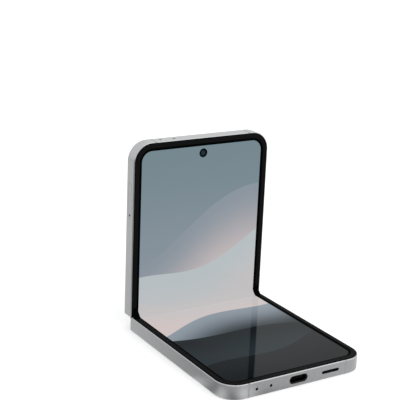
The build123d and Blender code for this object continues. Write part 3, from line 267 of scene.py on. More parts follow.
class PhoneColours(bpy.types.PropertyGroup):
    """Colours of the finishes"""

    metal: FloatVectorProperty(
        name="Metal", description="Satin metal of the frames", default=srgb(182, 183, 184),
        size=3, min=0, max=1, subtype="COLOR")
    panel: FloatVectorProperty(
        name="Back panel", description="Frosted panel of the lower half", default=srgb(176, 177, 179),
        size=3, min=0, max=1, subtype="COLOR")
    black: FloatVectorProperty(
        name="Black", description="Black glass", default=srgb(12, 12, 13),
        size=3, min=0, max=1, subtype="COLOR")
    rim: FloatVectorProperty(
        name="Rim", description="Soft rims round the display", default=srgb(20, 20, 21),
        size=3, min=0, max=1, subtype="COLOR")
    mist: FloatVectorProperty(
        name="Mist", description="Top of the picture", default=srgb(116, 134, 142),
        size=3, min=0, max=1, subtype="COLOR")
    slate: FloatVectorProperty(
        name="Slate", description="Middle greys of the picture", default=srgb(138, 148, 158),
        size=3, min=0, max=1, subtype="COLOR")
    pale: FloatVectorProperty(
        name="Pale", description="Light crests of the picture", default=srgb(182, 190, 194),
        size=3, min=0, max=1, subtype="COLOR")
    blush: FloatVectorProperty(
        name="Blush", description="Warm greys of the picture", default=srgb(205, 192, 190),
        size=3, min=0, max=1, subtype="COLOR")
    deep: FloatVectorProperty(
        name="Deep", description="Dark part of the picture", default=srgb(7, 11, 13),
        size=3, min=0, max=1, subtype="COLOR")


class PhoneStage(bpy.types.PropertyGroup):
    """Floor, light and camera"""

    floor: FloatVectorProperty(
        name="Floor", description="Colour of the floor", default=(0.86, 0.86, 0.86),
        size=3, min=0, max=1, subtype="COLOR")
    key_power: FloatProperty(
        name="Key light", description="Power of the large soft light", default=7.0, unit="POWER")
    key_size: FloatProperty(
        name="Key light size", description="Side of the large soft light", default=2.2, unit="LENGTH")
    camera_place: FloatVectorProperty(
        name="Camera place", description="Where the camera stands", default=(-0.25842, -0.37134, 0.20396),
        size=3, subtype="TRANSLATION", unit="LENGTH")
    camera_yaw: FloatProperty(
        name="Camera yaw", description="Turn of the view from +Y towards +X",
        default=math.radians(31.996), subtype="ANGLE")
    camera_pitch: FloatProperty(
        name="Camera pitch", description="Turn of the view above the horizon",
        default=math.radians(-16.615), subtype="ANGLE")
    camera_roll: FloatProperty(
        name="Camera roll", description="Tilt of the picture", default=math.radians(2.336), subtype="ANGLE")
    camera_lens: FloatProperty(
        name="Lens", description="Focal length on a 36 mm sensor", default=98.25, min=1)


# ---- Outlines ------------------------------------------------------------------------------------
def arc(x, y, radius, start, end, steps):
    """Points along an arc, both ends included; angles in degrees."""
    angles = (math.radians(start + (end - start) * step / steps) for step in range(steps + 1))
    return [(x + radius * math.cos(angle), y + radius * math.sin(angle)) for angle in angles]


def circle(x, y, radius, steps=64):
    """Points round a circle."""
    return arc(x, y, radius, 0, 360, steps)[:-1]


def half_path(inset, start):
    """Edge of a half, set in: up one side from v = start, round the end and back down the other side."""
    radius = bpy.context.scene.phone_sizes.corner_radius
    x, v = HALF_WIDTH - radius, HALF_LENGTH - radius
    right = arc(x, v, radius - inset, 0, 90, CORNER_STEPS)
    left = arc(-x, v, radius - inset, 90, 180, CORNER_STEPS)
    return [(HALF_WIDTH - inset, start), *right, *left, (inset - HALF_WIDTH, start)]


def rectangle(low, high, inset=0.0):
    """Corners of a box seen along Z, set in."""
    return [(low.x + inset, low.y + inset), (high.x - inset, low.y + inset),
            (high.x - inset, high.y - inset), (low.x + inset, high.y - inset)]


def rounded(corners, radius, steps=8):
    """Closed polygon with every corner rounded."""
    points = []
    for index, corner in enumerate(corners):
        here = Vector(corner)
        before = (Vector(corners[index - 1]) - here).normalized()
        after = (Vector(corners[(index + 1) % len(corners)]) - here).normalized()
        half_angle = before.angle(after) / 2
        centre = here + (before + after).normalized() * radius / math.sin(half_angle)
        first = here + before * radius / math.tan(half_angle) - centre
        last = here + after * radius / math.tan(half_angle) - centre
        sweep = first.angle_signed(last)
        for step in range(steps + 1):
            turn = Matrix.Rotation(-sweep * step / steps, 2)
            points.append(tuple(centre + turn @ first))
    return points


def inside(point, outline):
    """True if a point lies in a closed outline."""
    x, y = point
    found = False
    for (x0, y0), (x1, y1) in zip(outline, outline[1:] + outline[:1]):
        if (y0 > y) != (y1 > y) and x < x0 + (y - y0) * (x1 - x0) / (y1 - y0):
            found = not found
    return found


# ---- Meshes --------------------------------------------------------------------------------------
def loft(bm, loops, finishes=None, ends=True, ring=False, along=None):
    """Skin through closed loops of equally many points; ends closes it, ring joins the last to the first.

    finishes has the finish of each band between two loops, along that of each strip across the loops.
    """
    rows = [[bm.verts.new(point) for point in loop] for loop in loops]
    bands = list(zip(rows, rows[1:] + rows[:1])) if ring else list(zip(rows, rows[1:]))
    for band, (near, far) in enumerate(bands):
        for i in range(len(near)):
            face = bm.faces.new((near[i - 1], near[i], far[i], far[i - 1]))
            face.material_index = finishes[band] if finishes else along[i - 1] if along else 0
    if ends and not ring:
        bm.faces.new(rows[0][::-1]).material_index = finishes[0] if finishes else 0
        bm.faces.new(rows[-1]).material_index = finishes[-1] if finishes else 0


def flat_area(bm, outline, z, holes=(), lines=(), lit=None, unlit=()):
    """Flat face with holes, cut along inner lines.

    Faces inside the lit outline get the second finish, but for those inside an unlit one.
    """
    points, edges = [], []
    closed_loops = [outline, *holes, *unlit, *([lit] if lit else [])]
    for loop, closed in [*((loop, True) for loop in closed_loops), *((line, False) for line in lines)]:
        first = len(points)
        points.extend(Vector(point) for point in loop)
        edges.extend((first + i, first + i + 1) for i in range(len(loop) - 1))
        if closed:
            edges.append((len(points) - 1, first))
    found, _, faces, *_ = delaunay_2d_cdt(points, edges, [], 0, SAME_PLACE / 10)
    verts = [bm.verts.new((x, y, z)) for x, y in found]
    for face in faces:
        middle = sum((found[i] for i in face), Vector((0, 0))) / len(face)
        if inside(middle, outline) and not any(inside(middle, hole) for hole in holes):
            made = bm.faces.new([verts[i] for i in face])
            shows = lit is not None and inside(middle, lit)
            made.material_index = int(shows and not any(inside(middle, ring) for ring in unlit))
    for vert in [vert for vert in verts if not vert.link_faces]:
        bm.verts.remove(vert)


def lathe(bm, x, y, profile, finishes=None, *, steps, ring=False, lobes=0, depth=0.0):
    """Form turned in steps about a line along Z; profile is (radius, height) pairs.

    Lobes make the last two loops of the profile a star, whose points reach in and out by depth.
    """
    loops = []
    for index, (radius, height) in enumerate(profile):
        wave = depth if lobes and index >= len(profile) - 2 else 0
        loop = []
        for step in range(steps):
            angle = 2 * math.pi * step / steps
            reach = radius * (1 + wave * math.cos(lobes * angle))
            loop.append((x + reach * math.cos(angle), y + reach * math.sin(angle), height))
        loops.append(loop)
    loft(bm, loops, finishes, ring=ring)


def above(height, points):
    """Profile for lathe from radii and heights above a given one, both in millimetres."""
    return [(radius * MM, height + rise * MM) for radius, rise in points]


def box_rows(low, high, corner, soft, closing=True):
    """Loops of a box with round corners seen along Z and soft edges, from its low end to its high end."""
    def section(inset, z):
        corners = rounded(rectangle(low, high, inset), max(corner - inset, soft / 4), 4)
        return [(x, y, z) for x, y in corners]

    turns = [math.pi / 6 * step for step in range(4)]
    rows = [section(soft * (1 - math.sin(a)), low.z + soft * (1 - math.cos(a))) for a in turns]
    if closing:
        return rows + [section(soft * (1 - math.cos(a)), high.z - soft * (1 - math.sin(a))) for a in turns]
    return rows + [section(0, high.z)]


def soft_box(bm, low, high, corner, soft, kind=0):
    """Box between two opposite corners, with round corners, soft edges and the finish of that number."""
    rows = box_rows(Vector(low), Vector(high), corner, soft)
    loft(bm, rows, [kind] * (len(rows) - 1))


def block(bm, xs, ys, zs, corner, soft, kind):
    """Soft box between two places along each axis, given in either order."""
    lows, highs = zip(*(sorted(ends) for ends in (xs, ys, zs)))
    soft_box(bm, lows, highs, corner, soft, kind)


def uv_sheet(bm, hand=1):
    """Spreads the picture over the opened phone; hand -1 turns it to be seen from the back."""
    sheet_map = bm.loops.layers.uv.new("sheet")
    for face in bm.faces:
        for corner in face.loops:
            x, y, _ = corner.vert.co
            across, along = hand * x / HALF_WIDTH, (y - FOLD_Y) / HALF_LENGTH
            corner[sheet_map].uv = (0.5 + across / 2, 0.5 + along / 2)


def new_piece(bm, name, finishes, slot):
    """Object of a finished mesh, smooth but for its sharp edges."""
    bmesh.ops.remove_doubles(bm, verts=bm.verts, dist=SAME_PLACE)
    bmesh.ops.recalc_face_normals(bm, faces=bm.faces)
    mesh = bpy.data.meshes.new(name)
    bm.to_mesh(mesh)
    bm.free()
    mesh.shade_smooth()
    mesh.set_sharp_from_angle(angle=SHARP_ANGLE)
    for finish_name in finishes:
        mesh.materials.append(finish(finish_name))
    piece = bpy.data.objects.new(name, mesh)
    bpy.context.scene.collection.objects.link(piece)
    normals = piece.modifiers.new("even_faces", "WEIGHTED_NORMAL")
    normals.keep_sharp = True
    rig.slot(piece, slot)
    return piece


def fit(bm, name, body, finishes, slot, replaced=()):
    """Piece drawn for the opened phone, put where its body is stored."""
    bmesh.ops.transform(bm, matrix=PLACES[body], verts=bm.verts)
    piece = new_piece(bm, name, finishes, slot)
    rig.ride(piece, body)
    if replaced:
        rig.replaces(piece, *replaced)


def solid_boxes(node, body):
    """Lowest and highest corner of each solid of a node, as drawn for the opened phone."""
    bm = bmesh.new()
    bm.from_mesh(frame["nodes"][node].data)
    bmesh.ops.remove_doubles(bm, verts=bm.verts, dist=10 * SAME_PLACE)
    bmesh.ops.transform(bm, matrix=PLACES[body].inverted(), verts=bm.verts)
    left, boxes = set(bm.verts), []
    while left:
        front, group = [left.pop()], []
        while front:
            vert = front.pop()
            group.append(vert.co.copy())
            linked = {edge.other_vert(vert) for edge in vert.link_edges} & left
            left -= linked
            front.extend(linked)
        low = Vector(min(point[axis] for point in group) for axis in range(3))
        high = Vector(max(point[axis] for point in group) for axis in range(3))
        boxes.append((low, high))
    bm.free()
    return sorted(boxes, key=lambda box: tuple(box[0]))


# ---- Finishes ------------------------------------------------------------------------------------
def feed(tree, node, inputs):
    """Sets a node's sockets, by name or number, to values or links them to other nodes' outputs."""
    for key, value in dict(inputs).items():
        if isinstance(value, bpy.types.NodeSocket):
            tree.links.new(value, node.inputs[key])
        else:
            node.inputs[key].default_value = value


def add_node(tree, kind, inputs=(), **options):
    """New shader node with its options set and its sockets fed."""
    node = tree.nodes.new("ShaderNode" + kind)
    for name, value in options.items():
        setattr(node, name, value)
    feed(tree, node, inputs)
    return node


def principled(colour, roughness, metallic=0.0, ior=1.5, coat=0.0):
    """New material and its shader."""
    material = bpy.data.materials.new("finish")
    material.use_nodes = True
    shader = material.node_tree.nodes["Principled BSDF"]
    feed(material.node_tree, shader, {
        "Base Color": (*colour, 1), "Roughness": roughness, "Metallic": metallic, "IOR": ior,
        "Coat Weight": coat, "Coat Roughness": 0.05})
    return material, shader


def noise(tree, size, stretch, detail=3.0):
    """Noise whose grains are about size metres across."""
    place = add_node(tree, "TexCoord").outputs["Object"]
    scale = [1 / (size * share) for share in stretch]
    scaled = add_node(tree, "Mapping", {"Vector": place, "Scale": scale}).outputs["Vector"]
    return add_node(tree, "TexNoise", {"Vector": scaled, "Scale": 1, "Detail": detail}).outputs["Fac"]


def spread(tree, factor, low, high):
    """Maps the middle of a noise, where most of it lies, to a range."""
    ends = {"From Min": 0.3, "From Max": 0.7, "To Min": low, "To Max": high}
    return add_node(tree, "MapRange", {"Value": factor, **ends}).outputs["Result"]


def blend_colours(tree, factor, first, second):
    """Mix of two colours, each a value or an output."""
    first, second = (colour if isinstance(colour, bpy.types.NodeSocket) else (*colour, 1)
                     for colour in (first, second))
    return add_node(tree, "Mix", {0: factor, 6: first, 7: second}, data_type="RGBA").outputs[2]


def textured(colour, roughness, grain, bump, change=0.06, stretch=(1, 1, 1), speckle=0.0, **shader_values):
    """Material with fine grain in its height, roughness and speckle, and larger spots in its colour."""
    material, shader = principled(colour, roughness, **shader_values)
    tree = material.node_tree
    fine = noise(tree, grain, stretch)
    coarse = noise(tree, SPOT_GRAINS * grain, stretch, detail=2.0)

    def spots(share):
        """The colour at a share of its brightness, darker and lighter in spots."""
        first, second = ([min(1, channel * part) for channel in colour]
                         for part in (share - change, share + change))
        return blend_colours(tree, coarse, first, second)

    tint = spots(1 - speckle)
    if speckle:
        tint = blend_colours(tree, spread(tree, fine, 0, 1), tint, spots(1 + speckle))
    height = add_node(tree, "Bump", {"Strength": bump, "Distance": grain / 4, "Height": fine})
    feed(tree, shader, {
        "Base Color": tint, "Normal": height.outputs["Normal"],
        "Roughness": spread(tree, fine, roughness * (1 - UNEVEN), roughness * (1 + UNEVEN))})
    return material


class Sums:
    """Writes arithmetic as nodes of one material."""

    def __init__(self, tree):
        self.tree = tree

    def __call__(self, operation, *values):
        return add_node(self.tree, "Math", enumerate(values), operation=operation).outputs[0]

    def ramp(self, value, start, end):
        """Smooth rise from 0 at start to 1 at end."""
        ends = {"Value": value, "From Min": start, "From Max": end}
        return add_node(self.tree, "MapRange", ends, interpolation_type="SMOOTHSTEP").outputs["Result"]


def picture(sky, dunes):
    """Display showing rolling dunes under a soft sky.

    sky is (top colour, horizon colour).  A dune is (height, swing, turns, phase, slope, depth, crest
    colour, foot colour); heights run from -1 at the bottom of the picture to 1 at its top.
    """
    material, shader = principled((0.002, 0.002, 0.002), 0.05, ior=1.15)
    tree = material.node_tree
    sums = Sums(tree)
    place = add_node(tree, "UVMap", uv_map="sheet").outputs["UV"]
    split = add_node(tree, "SeparateXYZ", {"Vector": place})
    across = sums("SUBTRACT", split.outputs["X"], 0.5)
    along = sums("MULTIPLY_ADD", split.outputs["Y"], 2.0, -1.0)
    colour = blend_colours(tree, sums.ramp(along, 1.0, 0.1), *sky)
    for height, swing, turns, phase, slope, depth, crest_colour, foot_colour in dunes:
        wave = sums("SINE", sums("MULTIPLY_ADD", across, turns, phase))
        rise = sums("MULTIPLY_ADD", across, slope, height)
        crest = sums("MULTIPLY_ADD", wave, swing, rise)
        below = sums("SUBTRACT", crest, along)
        body = blend_colours(tree, sums.ramp(below, 0.0, depth), crest_colour, foot_colour)
        colour = blend_colours(tree, sums.ramp(below, -0.001, 0.001), colour, body)
    feed(tree, shader, {"Emission Color": colour, "Emission Strength": 1.0})
    return material


def chosen(name):
    """Colour that the user has set."""
    return tuple(getattr(bpy.context.scene.phone_colours, name))


def lightened(colour, times):
    """Colour that is so many times as light."""
    return tuple(channel * times for channel in colour)


def main_picture():
    mist, slate, pale, blush, deep = map(chosen, ("mist", "slate", "pale", "blush", "deep"))
    dusk, shade = lightened(deep, 3), lightened(deep, 8)
    haze = tuple((first + second) / 2 for first, second in zip(pale, blush))
    dunes = [
        (0.50, 0.09, 4.2, 0.5, 0.30, 0.55, slate, blush),
        (0.29, -0.06, 5.0, 1.3, 0.24, 0.34, pale, haze),
        (0.03, 0.05, 5.2, -0.4, -0.16, 0.30, haze, blush),
        (-0.21, 0.05, 5.6, 1.9, 0.20, 0.30, slate, shade),
        (-0.43, 0.05, 4.6, 0.2, -0.20, 0.30, dusk, shade),
        (-0.70, -0.04, 6.2, 1.0, 0.16, 0.30, dusk, deep),
    ]
    return picture((mist, slate), dunes)


def cover_picture():
    mist, slate, pale, blush, deep = map(chosen, ("mist", "slate", "pale", "blush", "deep"))
    night = lightened(deep, 6)
    dunes = [
        (0.62, 0.05, 7.0, 0.4, 0.20, 0.40, slate, mist),
        (0.44, 0.06, 6.0, 2.2, -0.34, 0.30, blush, pale),
        (0.30, -0.05, 5.0, 0.6, 0.30, 0.26, night, mist),
        (0.16, 0.04, 6.5, 1.2, -0.12, 0.20, pale, blush),
    ]
    return picture((night, mist), dunes)


def satin_metal():
    return textured(chosen("metal"), 0.3, 0.3 * MM, 0.16, change=0.02, speckle=0.1, metallic=1.0)


def bright_metal():
    return textured(chosen("metal"), 0.16, 0.05 * MM, 0.03, change=0.02, metallic=1.0)


def spine_metal():
    return textured(chosen("metal"), 0.26, 0.05 * MM, 0.1, stretch=(14, 1, 1), metallic=1.0)


def break_plastic():
    return textured(srgb(156, 157, 158), 0.42, 0.08 * MM, 0.1)


def frosted_panel():
    return textured(chosen("panel"), 0.34, 0.07 * MM, 0.06, change=0.02, metallic=0.75)


def window_glass():
    return textured(chosen("black"), 0.06, 0.4 * MM, 0.004, ior=1.25)


def rim_plastic():
    return textured(chosen("rim"), 0.38, 0.06 * MM, 0.14, ior=1.06)


# Painted shade: near-black, barely glossy plastic on the rim's outer flank and foot, where shade falls between the
# metal and the rim.
def groove_black():
    return textured(srgb(4, 4, 5), 0.5, 0.06 * MM, 0.1, ior=1.03)


def socket_black():
    return textured(srgb(14, 14, 15), 0.6, 0.06 * MM, 0.1, ior=1.1)


def soft_rubber():
    return textured(srgb(10, 10, 11), 0.6, 0.08 * MM, 0.2, ior=1.1)


def display_border():
    return textured(srgb(4, 5, 5), 0.06, 0.4 * MM, 0.004, ior=1.03)


def lens_mask():
    return textured(srgb(8, 8, 10), 0.1, 0.3 * MM, 0.004, ior=1.2)


def lens_throat():
    return textured(srgb(14, 14, 17), 0.45, 0.06 * MM, 0.2, stretch=(1, 1, 0.2))


def lens_element():
    return textured(srgb(20, 20, 38), 0.04, 0.3 * MM, 0.004, ior=1.3)


def front_mask():
    return textured(srgb(10, 24, 32), 0.12, 0.3 * MM, 0.004, ior=1.1)


def front_element():
    return textured(srgb(24, 48, 62), 0.05, 0.3 * MM, 0.004, ior=1.2)


def flash_lens():
    return textured(srgb(232, 228, 206), 0.25, 0.1 * MM, 0.1, coat=0.5)


def sheet_steel():
    return textured(srgb(168, 169, 171), 0.3, 0.06 * MM, 0.1, stretch=(12, 1, 1), metallic=1.0)


def dark_steel():
    return textured(srgb(64, 64, 66), 0.36, 0.05 * MM, 0.1, stretch=(1, 8, 1), metallic=1.0)


def turned_steel():
    return textured(srgb(150, 151, 153), 0.24, 0.05 * MM, 0.12, stretch=(0.3, 6, 6), metallic=1.0)


def mesh_steel():
    return textured(srgb(22, 22, 23), 0.5, 0.05 * MM, 0.1, metallic=1.0)


def gold_contact():
    return textured(srgb(214, 176, 98), 0.22, 0.05 * MM, 0.05, metallic=1.0)


def cell_wrap():
    return textured(srgb(48, 49, 52), 0.4, 0.5 * MM, 0.15, change=0.15, coat=0.2)


def board_mask():
    return textured(srgb(18, 74, 52), 0.35, 0.3 * MM, 0.1, change=0.2, coat=0.3)


def film_cable():
    return textured(srgb(168, 104, 38), 0.35, 0.2 * MM, 0.1, stretch=(1, 30, 1), change=0.25)


def coil_wire():
    return textured(srgb(196, 118, 72), 0.3, 0.1 * MM, 0.1, metallic=1.0)


# Painted shade: dark brown laid in the creases between the coil's turns, where shade falls.
def coil_varnish():
    return textured(srgb(92, 46, 26), 0.35, 0.1 * MM, 0.1)


def moulded_black():
    return textured(srgb(30, 30, 33), 0.5, 0.1 * MM, 0.15)


MAKERS = {maker.__name__: maker for maker in (
    main_picture, cover_picture, satin_metal, bright_metal, spine_metal, break_plastic, frosted_panel,
    window_glass, rim_plastic, groove_black, socket_black, soft_rubber, display_border, lens_mask,
    lens_throat, lens_element, front_mask, front_element, flash_lens, sheet_steel, dark_steel,
    turned_steel, mesh_steel, gold_contact, cell_wrap, board_mask, film_cable, coil_wire, coil_varnish,
    moulded_black)}


def finish(name):
    """Material of that name, made when it is first asked for."""
    material = bpy.data.materials.get(name)
    if material is None:
        material = MAKERS[name]()
        material.name = name
    return material


def dress(finish_name, *nodes):
    """Gives nodes of the frame a finish."""
    for node in nodes:
        materials = frame["nodes"][node].data.materials
        materials.clear()
        materials.append(finish(finish_name))


# ---- Displays ------------------------------------------------------------------------------------
def smooth(share):
    """Eased share from 0 to 1."""
    share = min(1, max(0, share))
    return share * share * (3 - 2 * share)


def bend_ends(side, z, reach):
    """Where a sheet at height z stops following its half, and where it follows the spine alone."""
    place = PLACES[BODIES[side]]
    return place @ Vector((0, FOLD_Y + side * reach, z)), SPINE_PLACE @ Vector((0, FOLD_Y, z))


def bent(point, side, start, end):
    """Place in the stored pose of a point of a flat sheet that bends between its half and the spine."""
    along = end - start
    pivot = LOWER_AXIS if side == LOWER else UPPER_AXIS
    stored = PLACES[BODIES[side]] @ point
    share, rounds = 0.0, 60
    for _ in range(rounds):
        moved = turned(pivot, -side * HALF_FOLD * share) @ stored
        share += (smooth((moved - start).dot(along) / along.length_squared) - share) / 2
    return turned(pivot, -side * HALF_FOLD * share) @ stored


def arched(point, side, top):
    """Place in the stored pose of a point of a sheet that crosses the fold in an even arc."""
    rise = top - LOWER_AXIS.z
    along = (rise * math.sin(HALF_FOLD) - AXIS_REACH) / math.cos(HALF_FOLD)
    corner = LOWER_AXIS.z + rise * math.cos(HALF_FOLD) + along * math.sin(HALF_FOLD)
    middle = top - bpy.context.scene.phone_sizes.bend_sag
    radius = (middle - corner) / (1 / math.cos(HALF_FOLD) - 1)
    end = AXIS_REACH + along + radius * math.tan(HALF_FOLD)
    reach = side * (point.y - FOLD_Y)
    if reach > end:
        return PLACES[BODIES[side]] @ point
    angle = HALF_FOLD * reach / end
    deep = radius + top - point.z
    y, z = FOLD_Y + side * deep * math.sin(angle), middle + radius - deep * math.cos(angle)
    return SPINE_PLACE @ Vector((point.x, y, z))


def bending_sheet(name, side, outline, z0, z1, reach, finishes, slot, replaced, roundness=0.0, **areas):
    """Half of a sheet that crosses the fold; it lies flat, or nearly so, when the phone is opened."""
    width, rows_end = max(x for x, _ in outline), 1.1 * reach
    creases = [FOLD_Y + side * rows_end * row / BEND_ROWS for row in range(1, BEND_ROWS + 1)]
    bm = bmesh.new()
    flat_area(bm, outline, z1, lines=[[(-width, y), (width, y)] for y in creases], **areas)
    made = bmesh.ops.extrude_face_region(bm, geom=bm.faces[:], use_keep_orig=True)
    for vert in made["geom"]:
        if isinstance(vert, bmesh.types.BMVert):
            vert.co.z = z0
    at_fold = [face for face in bm.faces if all(abs(vert.co.y - FOLD_Y) < SAME_PLACE for vert in face.verts)]
    bmesh.ops.delete(bm, geom=at_fold, context="FACES_ONLY")
    uv_sheet(bm)
    start, end = bend_ends(side, z1, reach)
    for vert in bm.verts:
        vert.co = bent(vert.co, side, start, end).lerp(arched(vert.co, side, z1), roundness)
    piece = new_piece(bm, name, finishes, slot)
    piece.modifiers.clear()
    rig.blend(piece, BODIES[side], "hinge_spine", start=tuple(start), end=tuple(end))
    if replaced:
        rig.replaces(piece, *replaced)


def half_outline(side, inset, start):
    """Closed outline of a half's plate in X and Y, square at the fold."""
    return [(x, FOLD_Y + side * v) for x, v in half_path(inset, start)]


class PHONE_OT_display(bpy.types.Operator):
    """Makes the large display: two halves of one sheet that bend with the fold"""

    bl_idname = "phone.display"
    bl_label = "Folding display"

    def execute(self, context):
        sizes = context.scene.phone_sizes
        _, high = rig.box("lower_display")
        inset, edge = HALF_WIDTH - high.x, HALF_WIDTH - sizes.fold_inset
        camera_low, camera_high = solid_boxes("selfie_camera", "upper_half")[0]
        hole_y, hole_radius = (camera_low.y + camera_high.y) / 2, 1.85 * MM
        hole = circle(0, hole_y, hole_radius, 48)
        ring = circle(0, hole_y, hole_radius + sizes.hole_border, 48)
        for side, name, replaced, cuts in (
                (LOWER, "lower_display_sheet", ["lower_display", "display_fold"], {}),
                (UPPER, "upper_display_sheet", ["upper_display"], {"holes": [hole], "unlit": [ring]})):
            outline = half_outline(side, inset, sizes.bezel_start - 0.02 * MM)
            ends = [(edge, FOLD_Y), (edge, outline[0][1])]
            outline = [*ends, *outline, *((-x, y) for x, y in reversed(ends))]
            # The lit area starts beyond the fold, so that no dark line crosses it.
            lit = half_outline(side, sizes.picture_inset, -1 * MM)
            bending_sheet(name, side, outline, high.z - sizes.sheet_thickness, high.z, sizes.bend_reach,
                          ["display_border", "main_picture"], "screen", replaced,
                          sizes.bend_roundness, lit=lit, **cuts)
        return {"FINISHED"}


class PHONE_OT_bezels(bpy.types.Operator):
    """Makes the soft black rims round the display"""

    bl_idname = "phone.bezels"
    bl_label = "Bezels"

    END_ROUND = 0.3 * MM

    def execute(self, context):
        sizes = context.scene.phone_sizes
        low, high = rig.box("lower_bezel")
        display_low, display_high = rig.box("lower_display")
        root = HALF_WIDTH - high.x
        outer, wall, lip = (
            root + width for width in (sizes.bezel_groove, sizes.bezel_wall, sizes.bezel_width))
        floor, under = METAL_HIGH.z - 0.25 * MM, display_low.z - 0.05 * MM
        lip_low = display_high.z + 0.05 * MM
        soft, drop = sizes.bezel_round, high.z - lip_low
        # groove marks the faces that take the painted shade of the groove.
        plastic, groove = range(2)
        # Distance from the phone's edge and height: up the groove, over the crest and down to the display.
        raised = [(outer, floor)]
        raised += [(outer + soft * (1 - math.cos(a)), high.z - soft * (1 - math.sin(a)))
                   for a in (math.pi / 12 * turn for turn in range(7))]
        raised += [(lip - drop * (1 - math.sin(a)), lip_low + drop * math.cos(a))
                   for a in (math.pi / 8 * turn for turn in range(5))]
        raised += [(wall, lip_low), (wall, floor)]
        foot = [(root, low.z), (root, floor), (wall, floor), (wall, low.z)]
        low_foot = [(root, low.z), (root, under), (wall, under), (wall, low.z)]
        for side, name, node in ((LOWER, "lower_rim", "lower_bezel"), (UPPER, "upper_rim", "upper_bezel")):
            slit = sizes.earpiece_slit[1] if side == UPPER else 0
            bm = bmesh.new()
            paths = [self.rim_path(side, inset, z, self.raised_start(z), max(0, outer + slit - inset))
                     for inset, z in raised]
            loft(bm, list(zip(*paths)), along=[groove] * 4 + [plastic] * (len(raised) - 5) + [groove])
            paths = [self.rim_path(side, inset, z, sizes.bezel_start, 0) for inset, z in foot]
            loft(bm, list(zip(*paths)), along=[groove] * len(foot))
            for hand in (-1, 1):
                rows = [[(hand * (HALF_WIDTH - inset), FOLD_Y + side * v, z) for inset, z in low_foot]
                        for v in (self.foot_start(under), sizes.bezel_start)]
                loft(bm, rows, along=[groove] * len(low_foot))
            fit(bm, name, BODIES[side], ["rim_plastic", "groove_black"], "bezel_black", [node])
        self.end_seals()
        return {"FINISHED"}

    def end_seals(self):
        """Rubber seals between the rounded ends of the halves."""
        reach, stem, depth = AXIS_REACH - 0.2 * MM, 0.2 * MM, 1.4 * MM
        axis_z, top = LOWER_AXIS.z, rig.box("lower_display")[0].z - 0.03 * MM
        rises = [(top - axis_z) * step / 5 for step in range(6)]
        wing = [(AXIS_REACH - math.sqrt(reach ** 2 - rise ** 2), axis_z + rise) for rise in rises]
        head = [*wing, *((-y, z) for y, z in reversed(wing))]
        foot = [(stem, axis_z), (-stem, axis_z), (-stem, axis_z - depth), (stem, axis_z - depth)]
        inner = HALF_WIDTH - 1.35 * MM
        head_end = HALF_WIDTH - bpy.context.scene.phone_sizes.fold_inset - 0.05 * MM
        bm = bmesh.new()
        for hand in (-1, 1):
            for section, outer in ((head, head_end), (foot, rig.box("hinge_end_seals")[1].x)):
                rows = [(inner, 1), (outer - 0.1 * MM, 1), (outer - 0.03 * MM, 0.9), (outer, 0.7)]
                loft(bm, [[(hand * x, FOLD_Y + y * share, z) for y, z in section] for x, share in rows])
        fit(bm, "end_seals", "hinge_spine", ["soft_rubber"], "bezel_black", ["hinge_end_seals"])

    def raised_start(self, z):
        """Where the raised part starts at a height: its end is round."""
        rise = min(max(z - METAL_HIGH.z, 0), self.END_ROUND)
        start = bpy.context.scene.phone_sizes.bezel_start
        return start + self.END_ROUND - math.sqrt(self.END_ROUND ** 2 - rise ** 2)

    def foot_start(self, z):
        """Where the rim's low part starts: it stays inside a circle about the half's axis."""
        reach = AXIS_REACH - 0.25 * MM
        rise = min(max(z - LOWER_AXIS.z, 0), reach)
        return AXIS_REACH - math.sqrt(reach ** 2 - rise ** 2)

    def rim_path(self, side, inset, z, start, slit_depth):
        """Line along a half's edge at a height, stepped inwards along the earpiece's slit."""
        path = half_path(inset, start)
        half, end = bpy.context.scene.phone_sizes.earpiece_slit[0] / 2, HALF_LENGTH - inset
        inner, bottom = half - 0.02 * MM, end - slit_depth
        middle = len(path) // 2
        path[middle:middle] = [(half, end), (inner, bottom), (-inner, bottom), (-half, end)]
        return [(x, FOLD_Y + side * v, z) for x, v in path]


# ---- Back ----------------------------------------------------------------------------------------
def rounded_plate(bm, side, holes=(), lit=None):
    """Plate on a half's back with a soft outer edge, as large as the lower half's back glass."""
    soft = bpy.context.scene.phone_sizes.glass_round
    low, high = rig.box("lower_back_glass")
    inset, start = HALF_WIDTH - high.x, FOLD_Y - high.y
    turns = [math.pi / 10 * step for step in range(6)]
    levels = [(soft - soft * math.sin(a), low.z + (soft - soft * math.cos(a))) for a in turns]
    levels.append((0, high.z))
    outlines = [half_outline(side, inset + more, start + more) for more, _ in levels]
    flat_area(bm, outlines[0], low.z, holes, lit=lit)
    flat_area(bm, outlines[-1], high.z, holes)
    rows = [[(x, y, z) for x, y in outline] for outline, (_, z) in zip(outlines, levels)]
    loft(bm, rows, ends=False)
    for hole in holes:
        loft(bm, [[(x, y, z) for x, y in hole] for z in (low.z, high.z)], ends=False)


class PHONE_OT_back_panel(bpy.types.Operator):
    """Makes the frosted panel on the back of the lower half"""

    bl_idname = "phone.back_panel"
    bl_label = "Back panel"

    def execute(self, context):
        bm = bmesh.new()
        rounded_plate(bm, LOWER)
        fit(bm, "back_panel", "lower_half", ["frosted_panel"], "silver_glass", ["lower_back_glass"])
        return {"FINISHED"}


